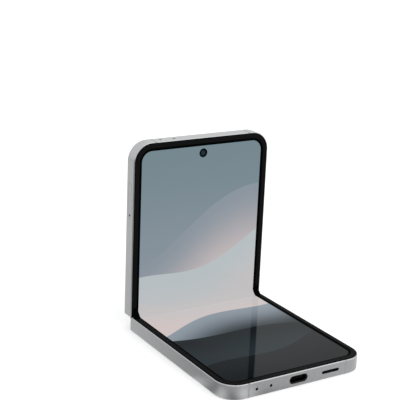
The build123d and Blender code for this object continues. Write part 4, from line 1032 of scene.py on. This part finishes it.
class PHONE_OT_cover_window(bpy.types.Operator):
    """Makes the cover window with the lit area of the cover display"""

    bl_idname = "phone.cover_window"
    bl_label = "Cover window"

    def execute(self, context):
        camera_hole, flash_hole = 6.12 * MM, 1.85 * MM
        holes = []
        for low, high in solid_boxes("lens_glasses", "upper_half"):
            middle = (low + high) / 2
            holes.append(circle(middle.x, middle.y, camera_hole))
        low, high = solid_boxes("flash", "upper_half")[0]
        middle = (low + high) / 2
        holes.append(circle(middle.x, middle.y, flash_hole, 40))
        # The lit area runs from near the fold up to the cameras, and a slanted step makes room for them.
        sizes = context.scene.phone_sizes
        half, end = sizes.cover_picture_half, FOLD_Y + HALF_LENGTH
        bottom, shoulder, top = (end - length for length in (75 * MM, 20.1 * MM, 14.9 * MM))
        corners = [(half, bottom), (half, shoulder), (4 * MM, shoulder), (-5 * MM, top), (-half, top),
                   (-half, bottom)]
        bm = bmesh.new()
        rounded_plate(bm, UPPER, holes, rounded(corners, sizes.cover_picture_round))
        uv_sheet(bm, hand=-1)
        fit(bm, "cover_window", "upper_half", ["window_glass", "cover_picture"], "black_glass",
            ["cover_glass", "cover_display"])
        return {"FINISHED"}


class PHONE_OT_cameras(bpy.types.Operator):
    """Makes the rings and lenses of the rear cameras and the flash"""

    bl_idname = "phone.cameras"
    bl_label = "Rear cameras and flash"

    def execute(self, context):
        self.rings_and_lenses()
        self.flash()
        dress("moulded_black", "wide_camera", "ultrawide_camera")
        return {"FINISHED"}

    def rings_and_lenses(self):
        """Rings that stand out from the glass, and in each a lens behind its window."""
        crest, window, seat, glass = -1.0 * MM, -0.75 * MM, -0.25 * MM, 0.5 * MM
        outer, bore, flange = 6.1 * MM, 4.5 * MM, 6.5 * MM
        ring_section = [
            (outer, glass),
            *above(crest, [(6.1, 0.32), (6.0, 0.12), (5.82, 0.02), (5.6, 0), (5.35, 0.04), (5.16, 0.16),
                           (5.05, 0.3)]),
            (5.05 * MM, seat), (bore, seat), (bore, glass + 0.3 * MM), (flange, glass + 0.3 * MM),
            (flange, glass),
        ]
        satin, bright, throat = range(3)
        ring_finish = [bright] * 7 + [throat] * 3 + [satin] * 3
        lens_section = [
            (4.98 * MM, seat - 0.01 * MM),
            *above(window, [(4.98, 0.06), (4.92, 0), (3.0, 0), (2.9, 0.05), (2.75, 0.12), (2.7, 0.2),
                            (2.3, 0.22), (2.25, 0.28), (1.9, 0.3), (1.85, 0.24), (1.6, 0.17), (1.2, 0.1),
                            (0.7, 0.06), (0.25, 0.05)]),
        ]
        mask, throat, element = range(3)
        lens_finish = [mask] * 4 + [throat] * 5 + [element] * 5
        rings, lenses = bmesh.new(), bmesh.new()
        for low, high in solid_boxes("lens_glasses", "upper_half"):
            middle = (low + high) / 2
            lathe(rings, middle.x, middle.y, ring_section, ring_finish, ring=True, steps=96)
            lathe(lenses, middle.x, middle.y, lens_section, lens_finish, steps=96)
        fit(rings, "camera_bezel_rings", "upper_half", ["satin_metal", "bright_metal", "lens_throat"],
            "bright_silver", ["camera_rings"])
        fit(lenses, "camera_lenses", "upper_half", ["lens_mask", "lens_throat", "lens_element"],
            "lens_glass", ["lens_glasses"])

    def flash(self):
        """Flash window with ring-shaped grooves."""
        low, high = solid_boxes("flash", "upper_half")[0]
        middle, radius = (low + high) / 2, (high.x - low.x) / 2
        section = [(radius, high.z), (radius, 0.06 * MM), (radius - 0.08 * MM, 0.01 * MM)]
        grooves = 5
        for groove in range(grooves):
            outer = (radius - 0.15 * MM) * (1 - groove / grooves)
            section += [(outer, 0.02 * MM), (outer - 0.12 * MM, 0.1 * MM)]
        bm = bmesh.new()
        lathe(bm, middle.x, middle.y, section, steps=48)
        fit(bm, "flash_window", "upper_half", ["flash_lens"], "flash_yellow", ["flash"])


class PHONE_OT_selfie_camera(bpy.types.Operator):
    """Makes the front camera behind the hole in the display"""

    bl_idname = "phone.selfie_camera"
    bl_label = "Front camera"

    def execute(self, context):
        low, high = solid_boxes("selfie_camera", "upper_half")[0]
        plate_low, plate_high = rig.box("lower_support_plate")
        middle = (low + high) / 2
        base, barrel = plate_low.z - 1 * MM, 1.6 * MM
        mask, throat, element, rubber = range(4)
        section = [(barrel, base), *above(high.z, [
            (1.6, -0.06), (1.54, 0), (0.95, 0), (0.9, -0.1), (0.75, -0.12), (0.7, -0.06), (0.4, -0.02),
            (0.12, -0.01)])]
        bm = bmesh.new()
        lathe(bm, middle.x, middle.y, section, [mask] * 3 + [throat] * 2 + [element] * 3, steps=48)
        # A gasket on the support plate closes the gap round the barrel.
        inner, outer = barrel + 0.02 * MM, 2.3 * MM
        foot, seal = plate_high.z + 0.01 * MM, high.z - 0.02 * MM
        gasket = [(inner, foot), (outer, foot), (outer, seal), (inner, seal)]
        lathe(bm, middle.x, middle.y, gasket, [rubber] * 4, ring=True, steps=48)
        body = rounded(rectangle(low, high), radius=0.3 * MM)
        loft(bm, [[(x, y, z) for x, y in body] for z in (low.z, base)], [throat])
        fit(bm, "front_camera", "upper_half", ["front_mask", "lens_throat", "front_element", "soft_rubber"],
            "module_black", ["selfie_camera"])
        return {"FINISHED"}


# ---- Metal, ports and inner pieces ---------------------------------------------------------------
class PHONE_OT_metal(bpy.types.Operator):
    """Finishes the frames, the keys, the card tray and the plastic breaks"""

    bl_idname = "phone.metal"
    bl_label = "Metal frames"

    def execute(self, context):
        dress("satin_metal", "lower_frame", "upper_frame", "power_key", "volume_key", "sim_tray")
        dress("break_plastic", "lower_antenna_breaks", "upper_antenna_breaks")
        dress("spine_metal", "hinge_cover")
        return {"FINISHED"}


class PHONE_OT_ports(bpy.types.Operator):
    """Makes the socket's contact tongue and finishes the socket and the loudspeaker's mesh"""

    bl_idname = "phone.ports"
    bl_label = "Ports"

    def execute(self, context):
        low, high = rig.box("usb_tongue")
        middle, root = (low + high) / 2, high.y - 1.2 * MM
        skin, sheet, thin = Vector((0.15 * MM, 0, 0.02 * MM)), 0.05 * MM, 0.04 * MM
        plastic, gold, steel = range(3)
        bm = bmesh.new()
        # The tongue grows thicker at its root, and a steel plate shows along both its sides.
        soft_box(bm, low + skin, high - skin, 0.3 * MM, 0.1 * MM, plastic)
        soft_box(bm, (low.x, root, low.z), high, 0.1 * MM, 0.05 * MM, plastic)
        block(bm, (low.x, high.x), (low.y + 0.6 * MM, root), (middle.z - sheet, middle.z + sheet),
              0.1 * MM, 0.02 * MM, steel)
        contacts, pitch, half = 12, 0.5 * MM, 0.13 * MM
        for column in range(contacts):
            x = middle.x + (column - (contacts - 1) / 2) * pitch
            for z in (low.z, high.z - thin):
                block(bm, (x - half, x + half), (low.y + 0.5 * MM, low.y + 3.4 * MM), (z, z + thin),
                      0.05 * MM, 0.01 * MM, gold)
        fit(bm, "port_tongue", "lower_half", ["socket_black", "gold_contact", "dark_steel"],
            "module_black", ["usb_tongue"])
        dress("dark_steel", "usb_socket")
        dress("mesh_steel", "speaker_mesh")
        return {"FINISHED"}


class PHONE_OT_batteries(bpy.types.Operator):
    """Makes the two pouch cells, each with folded side seams, an end circuit and its tail to the board"""

    bl_idname = "phone.batteries"
    bl_label = "Batteries"

    FINISHES = ["cell_wrap", "sheet_steel", "film_cable", "moulded_black"]
    WRAP, STEEL, FILM, BLACK = range(4)

    def execute(self, context):
        for side, node, board in ((LOWER, "lower_battery", "sub_board"),
                                  (UPPER, "upper_battery", "main_board")):
            body = BODIES[side]
            low, high = solid_boxes(node, body)[0]
            near, far = (high.y, low.y) if side == LOWER else (low.y, high.y)
            bm = bmesh.new()
            self.pouch(bm, side, low, high, near, far)
            self.tail(bm, side, far, low.z + 1.6 * MM, *solid_boxes(board, body)[0])
            fit(bm, node + "_cell", body, self.FINISHES, "battery_film", [node])
        return {"FINISHED"}

    def pouch(self, bm, side, low, high, near, far):
        """Cell between its near and far end, with its seams, its end circuit and two pull tabs."""
        seam, circuit, tab = 0.3 * MM, 3.4 * MM, 6 * MM
        wall = far - side * circuit
        block(bm, (low.x + seam, high.x - seam), (near, wall), (low.z, high.z), 1.2 * MM, 0.9 * MM,
              self.WRAP)
        for x in (low.x, high.x - 2 * seam):
            block(bm, (x, x + 2 * seam), (near + side * MM, wall - side * MM),
                  (low.z + 0.6 * MM, high.z - 0.9 * MM), 0.1 * MM, 0.08 * MM, self.STEEL)
        block(bm, (low.x + 2 * MM, high.x - 2 * MM), (wall - side * 0.2 * MM, far),
              (low.z + 0.9 * MM, high.z - 0.8 * MM), 0.5 * MM, 0.4 * MM, self.FILM)
        for x in (-18 * MM, 12 * MM):
            block(bm, (x, x + tab), (near + side * 2 * MM, near + side * 9 * MM),
                  (high.z - 0.1 * MM, high.z - 0.01 * MM), 0.6 * MM, 0.02 * MM, self.BLACK)

    def tail(self, bm, side, far, z, board_low, board_high):
        """Film that leaves the end circuit and bends up to a connector on the board's back."""
        x, half, plug_half, thin = 8 * MM, 2 * MM, 2.4 * MM, 0.06 * MM
        edge, back = board_low.y if side == UPPER else board_high.y, board_low.z
        run = [(far - side * MM, z), (far + side * 0.6 * MM, z), (edge, back - 0.75 * MM),
               (edge + side * 1.2 * MM, back - 0.6 * MM)]
        rows = [[(x - half, y, z - thin), (x + half, y, z - thin), (x + half, y, z + thin),
                 (x - half, y, z + thin)] for y, z in run]
        loft(bm, rows, [self.FILM] * (len(rows) - 1))
        block(bm, (x - plug_half, x + plug_half), (edge + side * 0.3 * MM, edge + side * 2.3 * MM),
              (back - 0.7 * MM, back), 0.2 * MM, 0.08 * MM, self.BLACK)


class PHONE_OT_boards(bpy.types.Operator):
    """Makes what sits on the boards: chips, small parts, connectors, screw rings and the shield can"""

    bl_idname = "phone.boards"
    bl_label = "Boards"

    # Middle, width, length and height of each chip: across, along from the fold, in millimetres.
    CHIPS = {
        "sub_board": [
            (-9, 66, 6, 5, 0.8), (0.5, 67, 7, 5, 0.9), (16, 63, 6, 4, 0.7), (-10.5, 73.5, 5, 4, 0.7),
            (-27.5, 73, 5, 4, 0.6), (29, 70, 4, 6, 0.6)],
        "main_board": [
            (-14.5, 54.5, 8, 6, 0.9), (14.5, 52, 7, 7, 0.8), (23, 57, 5, 4, 0.7), (15, 60.5, 6, 5, 0.9),
            (-20.5, 69, 9, 7, 0.9), (-9.5, 69.5, 6, 6, 0.8), (-29.5, 70, 4.5, 6, 0.7),
            (-10, 60.5, 2.6, 3, 0.6)],
    }
    FINISHES = ["board_mask", "moulded_black", "sheet_steel", "gold_contact"]
    MASK, BLACK, STEEL, GOLD = range(4)

    def execute(self, context):
        dress("board_mask", "sub_board", "main_board")
        self.board_parts(LOWER, "sub_board")
        self.board_parts(UPPER, "main_board")
        self.shield_can()
        self.processor()
        return {"FINISHED"}

    def board_parts(self, side, node):
        """Chips, the rings round the screws and the connector of one board."""
        body = BODIES[side]
        low, high = solid_boxes(node, body)[0]
        bm = bmesh.new()
        for x, v, width, length, height in self.CHIPS[node]:
            self.chip(bm, x * MM, FOLD_Y + side * v * MM, width * MM, length * MM, height * MM, low.z)
        inner, outer, thin = 0.75 * MM, 1.5 * MM, 0.02 * MM
        for screw_low, screw_high in solid_boxes(node + "_screws", body):
            x, y = (screw_low.x + screw_high.x) / 2, (screw_low.y + screw_high.y) / 2
            for z0, z1 in ((low.z - thin, low.z), (high.z, high.z + thin)):
                section = [(inner, z0), (outer, z0), (outer, z1), (inner, z1)]
                lathe(bm, x, y, section, [self.GOLD] * 4, ring=True, steps=32)
        # The film cable's connector on the board's front.
        edge, half = low.y if side == UPPER else high.y, 4.6 * MM
        block(bm, (-half, half), (edge + side * 0.1 * MM, edge + side * 2.2 * MM),
              (high.z, high.z + 0.17 * MM), 0.3 * MM, 0.05 * MM, self.BLACK)
        fit(bm, node + "_parts", body, self.FINISHES, "module_black")

    def chip(self, bm, x, y, width, length, height, back):
        """Chip under a board's back, with a row of small parts along two of its sides."""
        block(bm, (x - width / 2, x + width / 2), (y - length / 2, y + length / 2), (back - height, back),
              0.2 * MM, 0.08 * MM, self.BLACK)
        gap, half, reach = 0.7 * MM, 0.15 * MM, 0.3 * MM
        count = int(length / (1 * MM))
        for step in range(count):
            part_y = y + (step - (count - 1) / 2) * MM
            for hand in (-1, 1):
                part_x = x + hand * (width / 2 + gap)
                for start, end, kind in ((-reach, -reach / 2, self.STEEL),
                                         (-reach / 2, reach / 2, self.BLACK),
                                         (reach / 2, reach, self.STEEL)):
                    block(bm, (part_x + start, part_x + end), (part_y - half, part_y + half),
                          (back - 2 * half, back), 0.03 * MM, 0.01 * MM, kind)

    def shield_can(self):
        """Hollow steel can with a raised crest, open to the board."""
        low, high = solid_boxes("shield_can", "upper_half")[0]
        sheet, raised = 0.15 * MM, 0.05 * MM
        lid = low + Vector((0, 0, raised))
        outer = box_rows(lid, high, 0.6 * MM, 0.25 * MM, closing=False)
        inner = box_rows(lid + Vector((sheet, sheet, sheet)), high - Vector((sheet, sheet, 0)),
                         0.4 * MM, 0.1 * MM, closing=False)
        bm = bmesh.new()
        loft(bm, outer + inner[::-1])
        crest = Vector((3 * MM, 3 * MM, 0))
        soft_box(bm, low + crest, Vector((high.x, high.y, low.z + sheet)) - crest, 1.5 * MM, 0.04 * MM)
        fit(bm, "processor_can", "upper_half", ["sheet_steel"], "module_metal", ["shield_can"])

    def processor(self):
        """Processor: a moulded package on its green carrier."""
        low, high = solid_boxes("processor", "upper_half")[0]
        base, inset = high.z - 0.3 * MM, Vector((0.4 * MM, 0.4 * MM, 0))
        bm = bmesh.new()
        soft_box(bm, (low.x, low.y, base), high, 0.2 * MM, 0.03 * MM, self.MASK)
        soft_box(bm, low + inset, Vector((high.x, high.y, base)) - inset, 0.3 * MM, 0.08 * MM, self.BLACK)
        fit(bm, "processor_package", "upper_half", self.FINISHES[:2], "module_black", ["processor"])


class PHONE_OT_screws(bpy.types.Operator):
    """Makes the screws: soft heads with a star recess, and threaded shanks"""

    bl_idname = "phone.screws"
    bl_label = "Screws"

    def execute(self, context):
        flat, tall = 0.25 * MM, 0.4 * MM
        for node, body, head, faces_front in (
                ("lower_wing_screws", "lower_half", flat, True),
                ("upper_wing_screws", "upper_half", flat, True),
                ("housing_screws", "hinge_spine", flat, True),
                ("sub_board_screws", "lower_half", tall, False),
                ("main_board_screws", "upper_half", tall, False)):
            bm = bmesh.new()
            for low, high in solid_boxes(node, body):
                middle = (low + high) / 2
                top, down = (high.z, -1) if faces_front else (low.z, 1)
                section = self.section(high.z - low.z, head, (high.x - low.x) / 2)
                placed = [(reach, top + down * depth) for reach, depth in section]
                lathe(bm, middle.x, middle.y, placed, steps=36, lobes=6, depth=0.14)
            fit(bm, node.replace("screws", "screw_set"), body, ["turned_steel"], "screw_steel", [node])
        return {"FINISHED"}

    def section(self, length, head, head_radius):
        """Radii and depths from the point of the shank, along its thread and over the head to the recess."""
        radius, thread, pitch = 0.5 * MM, 0.06 * MM, 0.25 * MM
        turns = round((length - head) / pitch)
        rows = [(radius - 2 * thread, length)]
        for turn in range(turns, 0, -1):
            depth = head + (length - head) * (turn - 0.5) / turns
            rows += [(radius, depth), (radius - thread, depth - (length - head) / turns / 2)]
        rows += [(radius, head), (head_radius - 0.02 * MM, head), (head_radius, head - 0.05 * MM)]
        rows += [(head_radius * across, head * down) for across, down in (
            (1, 0.45), (0.93, 0.12), (0.78, 0), (0.5, 0), (0.46, 0.6))]
        return rows


class PHONE_OT_modules(bpy.types.Operator):
    """Makes the charging coil, loudspeaker, vibration motor, microphones and earpiece"""

    bl_idname = "phone.modules"
    bl_label = "Sound, buzz and charging modules"

    FINISHES = ["moulded_black", "sheet_steel", "gold_contact"]
    BLACK, STEEL, GOLD = range(3)

    def execute(self, context):
        self.coil()
        self.loudspeaker()
        self.vibration_motor()
        self.microphones("bottom_microphones", "lower_half")
        self.microphones("top_microphones", "upper_half")
        self.earpiece()
        dress("sheet_steel", "sim_socket", "key_switches")
        return {"FINISHED"}

    def coil(self):
        """Flat coil of turns, with a painted shade in the creases between them."""
        low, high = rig.box("charging_coil")
        middle, outer = (low + high) / 2, (high.x - low.x) / 2
        inner, turns = 11 * MM, 14
        wire, half = (outer - inner) / turns, (high.z - low.z) / 2
        bulge = ((1, 0.3), (0.86, 0.6), (0.5, 0.95), (-0.5, 0.95), (-0.86, 0.6))
        section = []
        for direction, order in ((-1, range(turns)), (1, range(turns - 1, -1, -1))):
            for turn in order:
                start = inner + (turn + 0.5) * wire
                section += [(start + direction * share * wire / 2, middle.z + direction * half * rise)
                            for share, rise in bulge]
        # The faces at the edges of each turn, in the creases, take the painted shade.
        bare, shaded_crease = range(2)
        kinds = [shaded_crease, bare, bare, bare, shaded_crease] * 2 * turns
        bm = bmesh.new()
        lathe(bm, middle.x, middle.y, section, kinds, ring=True, steps=96)
        fit(bm, "coil_winding", "lower_half", ["coil_wire", "coil_varnish"], "coil_copper",
            ["charging_coil"])

    def loudspeaker(self):
        """Moulded box with a steel lid and three ribs pressed into it."""
        low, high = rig.box("loudspeaker")
        lid, rim = low.z + 0.5 * MM, Vector((1.2 * MM, 1.2 * MM, 0))
        bm = bmesh.new()
        soft_box(bm, (low.x, low.y, low.z + 0.25 * MM), high, 0.8 * MM, 0.3 * MM, self.BLACK)
        soft_box(bm, low + rim + Vector((0, 0, 0.12 * MM)), Vector((high.x, high.y, lid)) - rim,
                 1.5 * MM, 0.08 * MM, self.STEEL)
        ribs, half, margin = 3, 0.7 * MM, 3 * MM
        for rib in range(ribs):
            x = low.x + (high.x - low.x) * (rib + 1) / (ribs + 1)
            block(bm, (x - half, x + half), (low.y + margin, high.y - margin), (low.z, lid),
                  0.6 * MM, 0.1 * MM, self.STEEL)
        fit(bm, "loudspeaker_box", "lower_half", self.FINISHES[:2], "module_black", ["loudspeaker"])

    def vibration_motor(self):
        """Round can with a soft lid that is sunk in its middle."""
        low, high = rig.box("vibration_motor")
        middle, radius = (low + high) / 2, (high.x - low.x) / 2
        section = [(radius, high.z), (radius, high.z - 0.3 * MM), (radius - 0.1 * MM, high.z - 0.4 * MM),
                   (radius - 0.1 * MM, low.z + 0.3 * MM), (radius - 0.2 * MM, low.z + 0.1 * MM),
                   (radius - 0.4 * MM, low.z),
                   *above(low.z, [(1.7, 0), (1.6, 0.12), (0.5, 0.12), (0.4, 0.04)])]
        bm = bmesh.new()
        lathe(bm, middle.x, middle.y, section, steps=64)
        fit(bm, "vibration_motor_can", "lower_half", ["sheet_steel"], "module_metal", ["vibration_motor"])

    def microphones(self, node, body):
        """Small cans, each with a lid and a gold dent round its opening."""
        bm = bmesh.new()
        for low, high in solid_boxes(node, body):
            middle, rim = (low + high) / 2, Vector((0.3 * MM, 0.3 * MM, 0))
            lid = low.z + 0.12 * MM
            soft_box(bm, (low.x, low.y, low.z + 0.05 * MM), high, 0.3 * MM, 0.1 * MM, self.BLACK)
            soft_box(bm, low + rim, Vector((high.x, high.y, lid)) - rim, 0.3 * MM, 0.03 * MM, self.STEEL)
            dent = above(lid, [(0.45, 0), (0.45, -0.13), (0.3, -0.13), (0.28, -0.04)])
            lathe(bm, middle.x, middle.y, dent, [self.GOLD] * 3, steps=24)
        fit(bm, node + "_cans", body, self.FINISHES, "module_metal", [node])

    def earpiece(self):
        """Moulded receiver with a steel front."""
        low, high = solid_boxes("earpiece", "upper_half")[0]
        rim = Vector((0.5 * MM, 0.3 * MM, 0))
        bm = bmesh.new()
        soft_box(bm, low, (high.x, high.y, high.z - 0.5 * MM), 0.7 * MM, 0.25 * MM, self.BLACK)
        soft_box(bm, Vector((low.x, low.y, high.z - 0.6 * MM)) + rim, high - rim, 0.4 * MM, 0.1 * MM,
                 self.STEEL)
        fit(bm, "earpiece_receiver", "upper_half", self.FINISHES[:2], "module_black", ["earpiece"])


class PHONE_OT_cables(bpy.types.Operator):
    """Makes the film cable's middle, which bends with the fold, and finishes its ends"""

    bl_idname = "phone.cables"
    bl_label = "Film cables"

    def execute(self, context):
        low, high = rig.box("lower_cable")
        reach = FOLD_Y - high.y - 0.05 * MM
        for side, name, replaced in ((LOWER, "lower_cable_bend", ["hinge_cable"]),
                                     (UPPER, "upper_cable_bend", [])):
            end = FOLD_Y + side * reach
            outline = [(low.x, FOLD_Y), (low.x, end), (high.x, end), (high.x, FOLD_Y)]
            bending_sheet(name, side, outline, low.z, high.z, reach, ["film_cable"], "cable_amber", replaced)
        dress("film_cable", "lower_cable", "upper_cable")
        return {"FINISHED"}


class PHONE_OT_hinge(bpy.types.Operator):
    """Finishes the hinge modules and the plates under the display"""

    bl_idname = "phone.hinge"
    bl_label = "Hinge and plates"

    def execute(self, context):
        dress("sheet_steel", "lower_support_plate", "upper_support_plate", "centre_plate",
              "lower_hinge_arms", "upper_hinge_arms", "hinge_housings")
        dress("turned_steel", "lower_hinge_shafts", "upper_hinge_shafts", "lower_idler_gears",
              "upper_idler_gears", "lower_spring_washers", "upper_spring_washers")
        return {"FINISHED"}


# ---- Stage ---------------------------------------------------------------------------------------
def seen_directly(tree):
    """1 for rays that the camera, a mirror or clear glass sends, 0 for those that only light things."""
    path = add_node(tree, "LightPath").outputs
    sums = Sums(tree)
    mirrored = sums("MAXIMUM", path["Is Glossy Ray"], path["Is Transmission Ray"])
    return sums("MAXIMUM", path["Is Camera Ray"], mirrored)


def studio_world(light):
    """White world that lights things at a strength of its own."""
    world = bpy.data.worlds.new("studio")
    world.use_nodes = True
    tree = world.node_tree
    tree.nodes.clear()
    lit = add_node(tree, "Background", {"Color": WHITE, "Strength": light})
    shown = add_node(tree, "Background", {"Color": WHITE})
    mix = add_node(tree, "MixShader", {0: seen_directly(tree), 1: lit.outputs[0], 2: shown.outputs[0]})
    add_node(tree, "OutputWorld", {0: mix.outputs[0]})
    return world


def floor_material(colour):
    """Floor that is white to the camera, while mirrors see painted shades: a painted reflection for the metal.

    They see it darken towards the phone's left, with painted highlight streaks that run out from its corner.
    """
    material, shader = principled(colour, 0.6, ior=1.1)
    material.name = "floor"
    tree = material.node_tree
    sums = Sums(tree)
    path = add_node(tree, "LightPath").outputs
    place = add_node(tree, "TexCoord").outputs["Object"]
    split = add_node(tree, "SeparateXYZ", {"Vector": place})
    x, y = split.outputs["X"], split.outputs["Y"]

    # Painted reflection shades beside the phone and before it change by so much a metre, and meet at its front edge.
    darkest, lightest = 0.3, 0.95
    beside = sums("MULTIPLY_ADD", x, 5.9, sums("MULTIPLY_ADD", y, 4.4, 0.79))
    before = sums("MULTIPLY_ADD", x, 2.0, 0.67)
    front = sums.ramp(y, -42.5 * MM, -46.5 * MM)
    shade = sums("MULTIPLY_ADD", sums("SUBTRACT", before, beside), front, beside)
    shade = sums("MINIMUM", sums("MAXIMUM", shade, darkest), lightest)

    # The painted highlight streaks run out from the middle of the round corner.
    corner_x, corner_y, near, far = -27 * MM, -32.3 * MM, 15.5 * MM, 24 * MM
    turns, first = 4.34, math.radians(17)
    from_x, from_y = sums("ADD", x, -corner_x), sums("ADD", y, -corner_y)
    distance = sums("SQRT", sums("ADD", sums("MULTIPLY", from_x, from_x), sums("MULTIPLY", from_y, from_y)))
    angle = sums("ARCTAN2", sums("MULTIPLY", from_y, -1.0), sums("MULTIPLY", from_x, -1.0))
    wave = sums("COSINE", sums("MULTIPLY_ADD", angle, turns, -turns * first))
    painted_streak = sums("MULTIPLY", sums("MULTIPLY_ADD", wave, 0.27, 0.2), sums.ramp(distance, far, near))

    # Mirrors, the metal among them, see the painted shade and the painted highlight streaks as light.
    mirrored = add_node(tree, "Emission", {"Color": WHITE, "Strength": sums("ADD", shade, painted_streak)})
    missing = [1 - 0.8 * channel for channel in colour]
    glow = add_node(tree, "Emission", {"Color": (*missing, 1), "Strength": path["Is Camera Ray"]})
    seen = add_node(tree, "AddShader", {0: shader.outputs[0], 1: glow.outputs[0]})
    mix = add_node(tree, "MixShader", {
        0: path["Is Glossy Ray"], 1: seen.outputs[0], 2: mirrored.outputs[0]})
    tree.links.new(mix.outputs[0], tree.nodes["Material Output"].inputs["Surface"])
    return material


def area_light(name, place, target, size, power):
    """Square soft light that looks at a target."""
    data = bpy.data.lights.new(name, "AREA")
    data.shape = "SQUARE"
    data.size = size
    data.energy = power
    lamp = bpy.data.objects.new(name, data)
    lamp.location = place
    lamp.rotation_euler = (Vector(target) - Vector(place)).to_track_quat("-Z", "Y").to_euler()
    bpy.context.scene.collection.objects.link(lamp)


class PHONE_OT_stage(bpy.types.Operator):
    """Sets the floor, the soft light and the camera"""

    bl_idname = "phone.stage"
    bl_label = "Stage"

    def execute(self, context):
        scene, stage = context.scene, context.scene.phone_stage
        scene.view_settings.view_transform = "Standard"
        scene.world = studio_world(light=0.85)
        self.floor(scene, tuple(stage.floor))
        area_light("key_light", place=(0.5, -0.5, 0.9), target=(0, 0, 0.03), size=stage.key_size,
                   power=stage.key_power)
        self.camera(scene, stage)
        return {"FINISHED"}

    def floor(self, scene, colour):
        """Wide floor just under the phone."""
        bm = bmesh.new()
        bmesh.ops.create_grid(bm, x_segments=8, y_segments=8, size=4)
        mesh = bpy.data.meshes.new("floor")
        bm.to_mesh(mesh)
        bm.free()
        mesh.materials.append(floor_material(colour))
        floor = bpy.data.objects.new("floor", mesh)
        floor.location.z = cad_bounds[0].z - 0.02 * MM
        scene.collection.objects.link(floor)
        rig.stage(floor)

    def camera(self, scene, stage):
        """Camera at its place, turned by its yaw, pitch and roll."""
        yaw, pitch = stage.camera_yaw, stage.camera_pitch
        forward = Vector((math.sin(yaw) * math.cos(pitch), math.cos(yaw) * math.cos(pitch), math.sin(pitch)))
        level = Vector((math.cos(yaw), -math.sin(yaw), 0))
        right = Matrix.Rotation(-stage.camera_roll, 3, forward) @ level
        turn = Matrix((right, right.cross(forward), -forward)).transposed().to_4x4()
        camera = bpy.data.objects.new("camera", bpy.data.cameras.new("camera"))
        camera.data.lens = stage.camera_lens
        camera.data.sensor_width = 36
        camera.data.clip_start = 10 * MM
        camera.matrix_world = Matrix.Translation(stage.camera_place) @ turn
        scene.collection.objects.link(camera)
        scene.camera = camera


class PHONE_PT_panel(bpy.types.Panel):
    """Lists the phone's sizes, colours and steps"""

    bl_idname = "PHONE_PT_panel"
    bl_label = "Flip phone"
    bl_space_type = "VIEW_3D"
    bl_region_type = "UI"
    bl_category = "Phone"

    def draw(self, context):
        for group in (context.scene.phone_sizes, context.scene.phone_colours, context.scene.phone_stage):
            box = self.layout.box()
            for name in group.__annotations__:
                box.prop(group, name)
        for step in STEPS:
            self.layout.operator(step.bl_idname)


STEPS = (PHONE_OT_stage, PHONE_OT_metal, PHONE_OT_display, PHONE_OT_bezels, PHONE_OT_back_panel,
         PHONE_OT_cover_window, PHONE_OT_cameras, PHONE_OT_selfie_camera, PHONE_OT_ports,
         PHONE_OT_batteries, PHONE_OT_boards, PHONE_OT_screws, PHONE_OT_modules, PHONE_OT_cables,
         PHONE_OT_hinge)
GROUPS = {"phone_sizes": PhoneSizes, "phone_colours": PhoneColours, "phone_stage": PhoneStage}


def register():
    for group in GROUPS.values():
        bpy.utils.register_class(group)
    for name, group in GROUPS.items():
        setattr(bpy.types.Scene, name, PointerProperty(type=group))
    for part in (*STEPS, PHONE_PT_panel):
        bpy.utils.register_class(part)


def unregister():
    for part in (*STEPS, PHONE_PT_panel):
        bpy.utils.unregister_class(part)
    for name, group in GROUPS.items():
        delattr(bpy.types.Scene, name)
        bpy.utils.unregister_class(group)


def main():
    """Registers the add-on, runs its steps in order and writes how large the phone is."""
    register()
    bpy.ops.phone.stage()
    bpy.ops.phone.metal()
    bpy.ops.phone.display()
    bpy.ops.phone.bezels()
    bpy.ops.phone.back_panel()
    bpy.ops.phone.cover_window()
    bpy.ops.phone.cameras()
    bpy.ops.phone.selfie_camera()
    bpy.ops.phone.ports()
    bpy.ops.phone.batteries()
    bpy.ops.phone.boards()
    bpy.ops.phone.screws()
    bpy.ops.phone.modules()
    bpy.ops.phone.cables()
    bpy.ops.phone.hinge()
    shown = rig.bounds()
    with open("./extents.json", "w") as file:
        json.dump({"cad": [list(corner) for corner in cad_bounds],
                   "shown": [list(corner) for corner in shown]}, file)


if __name__ == "__main__":
    main()
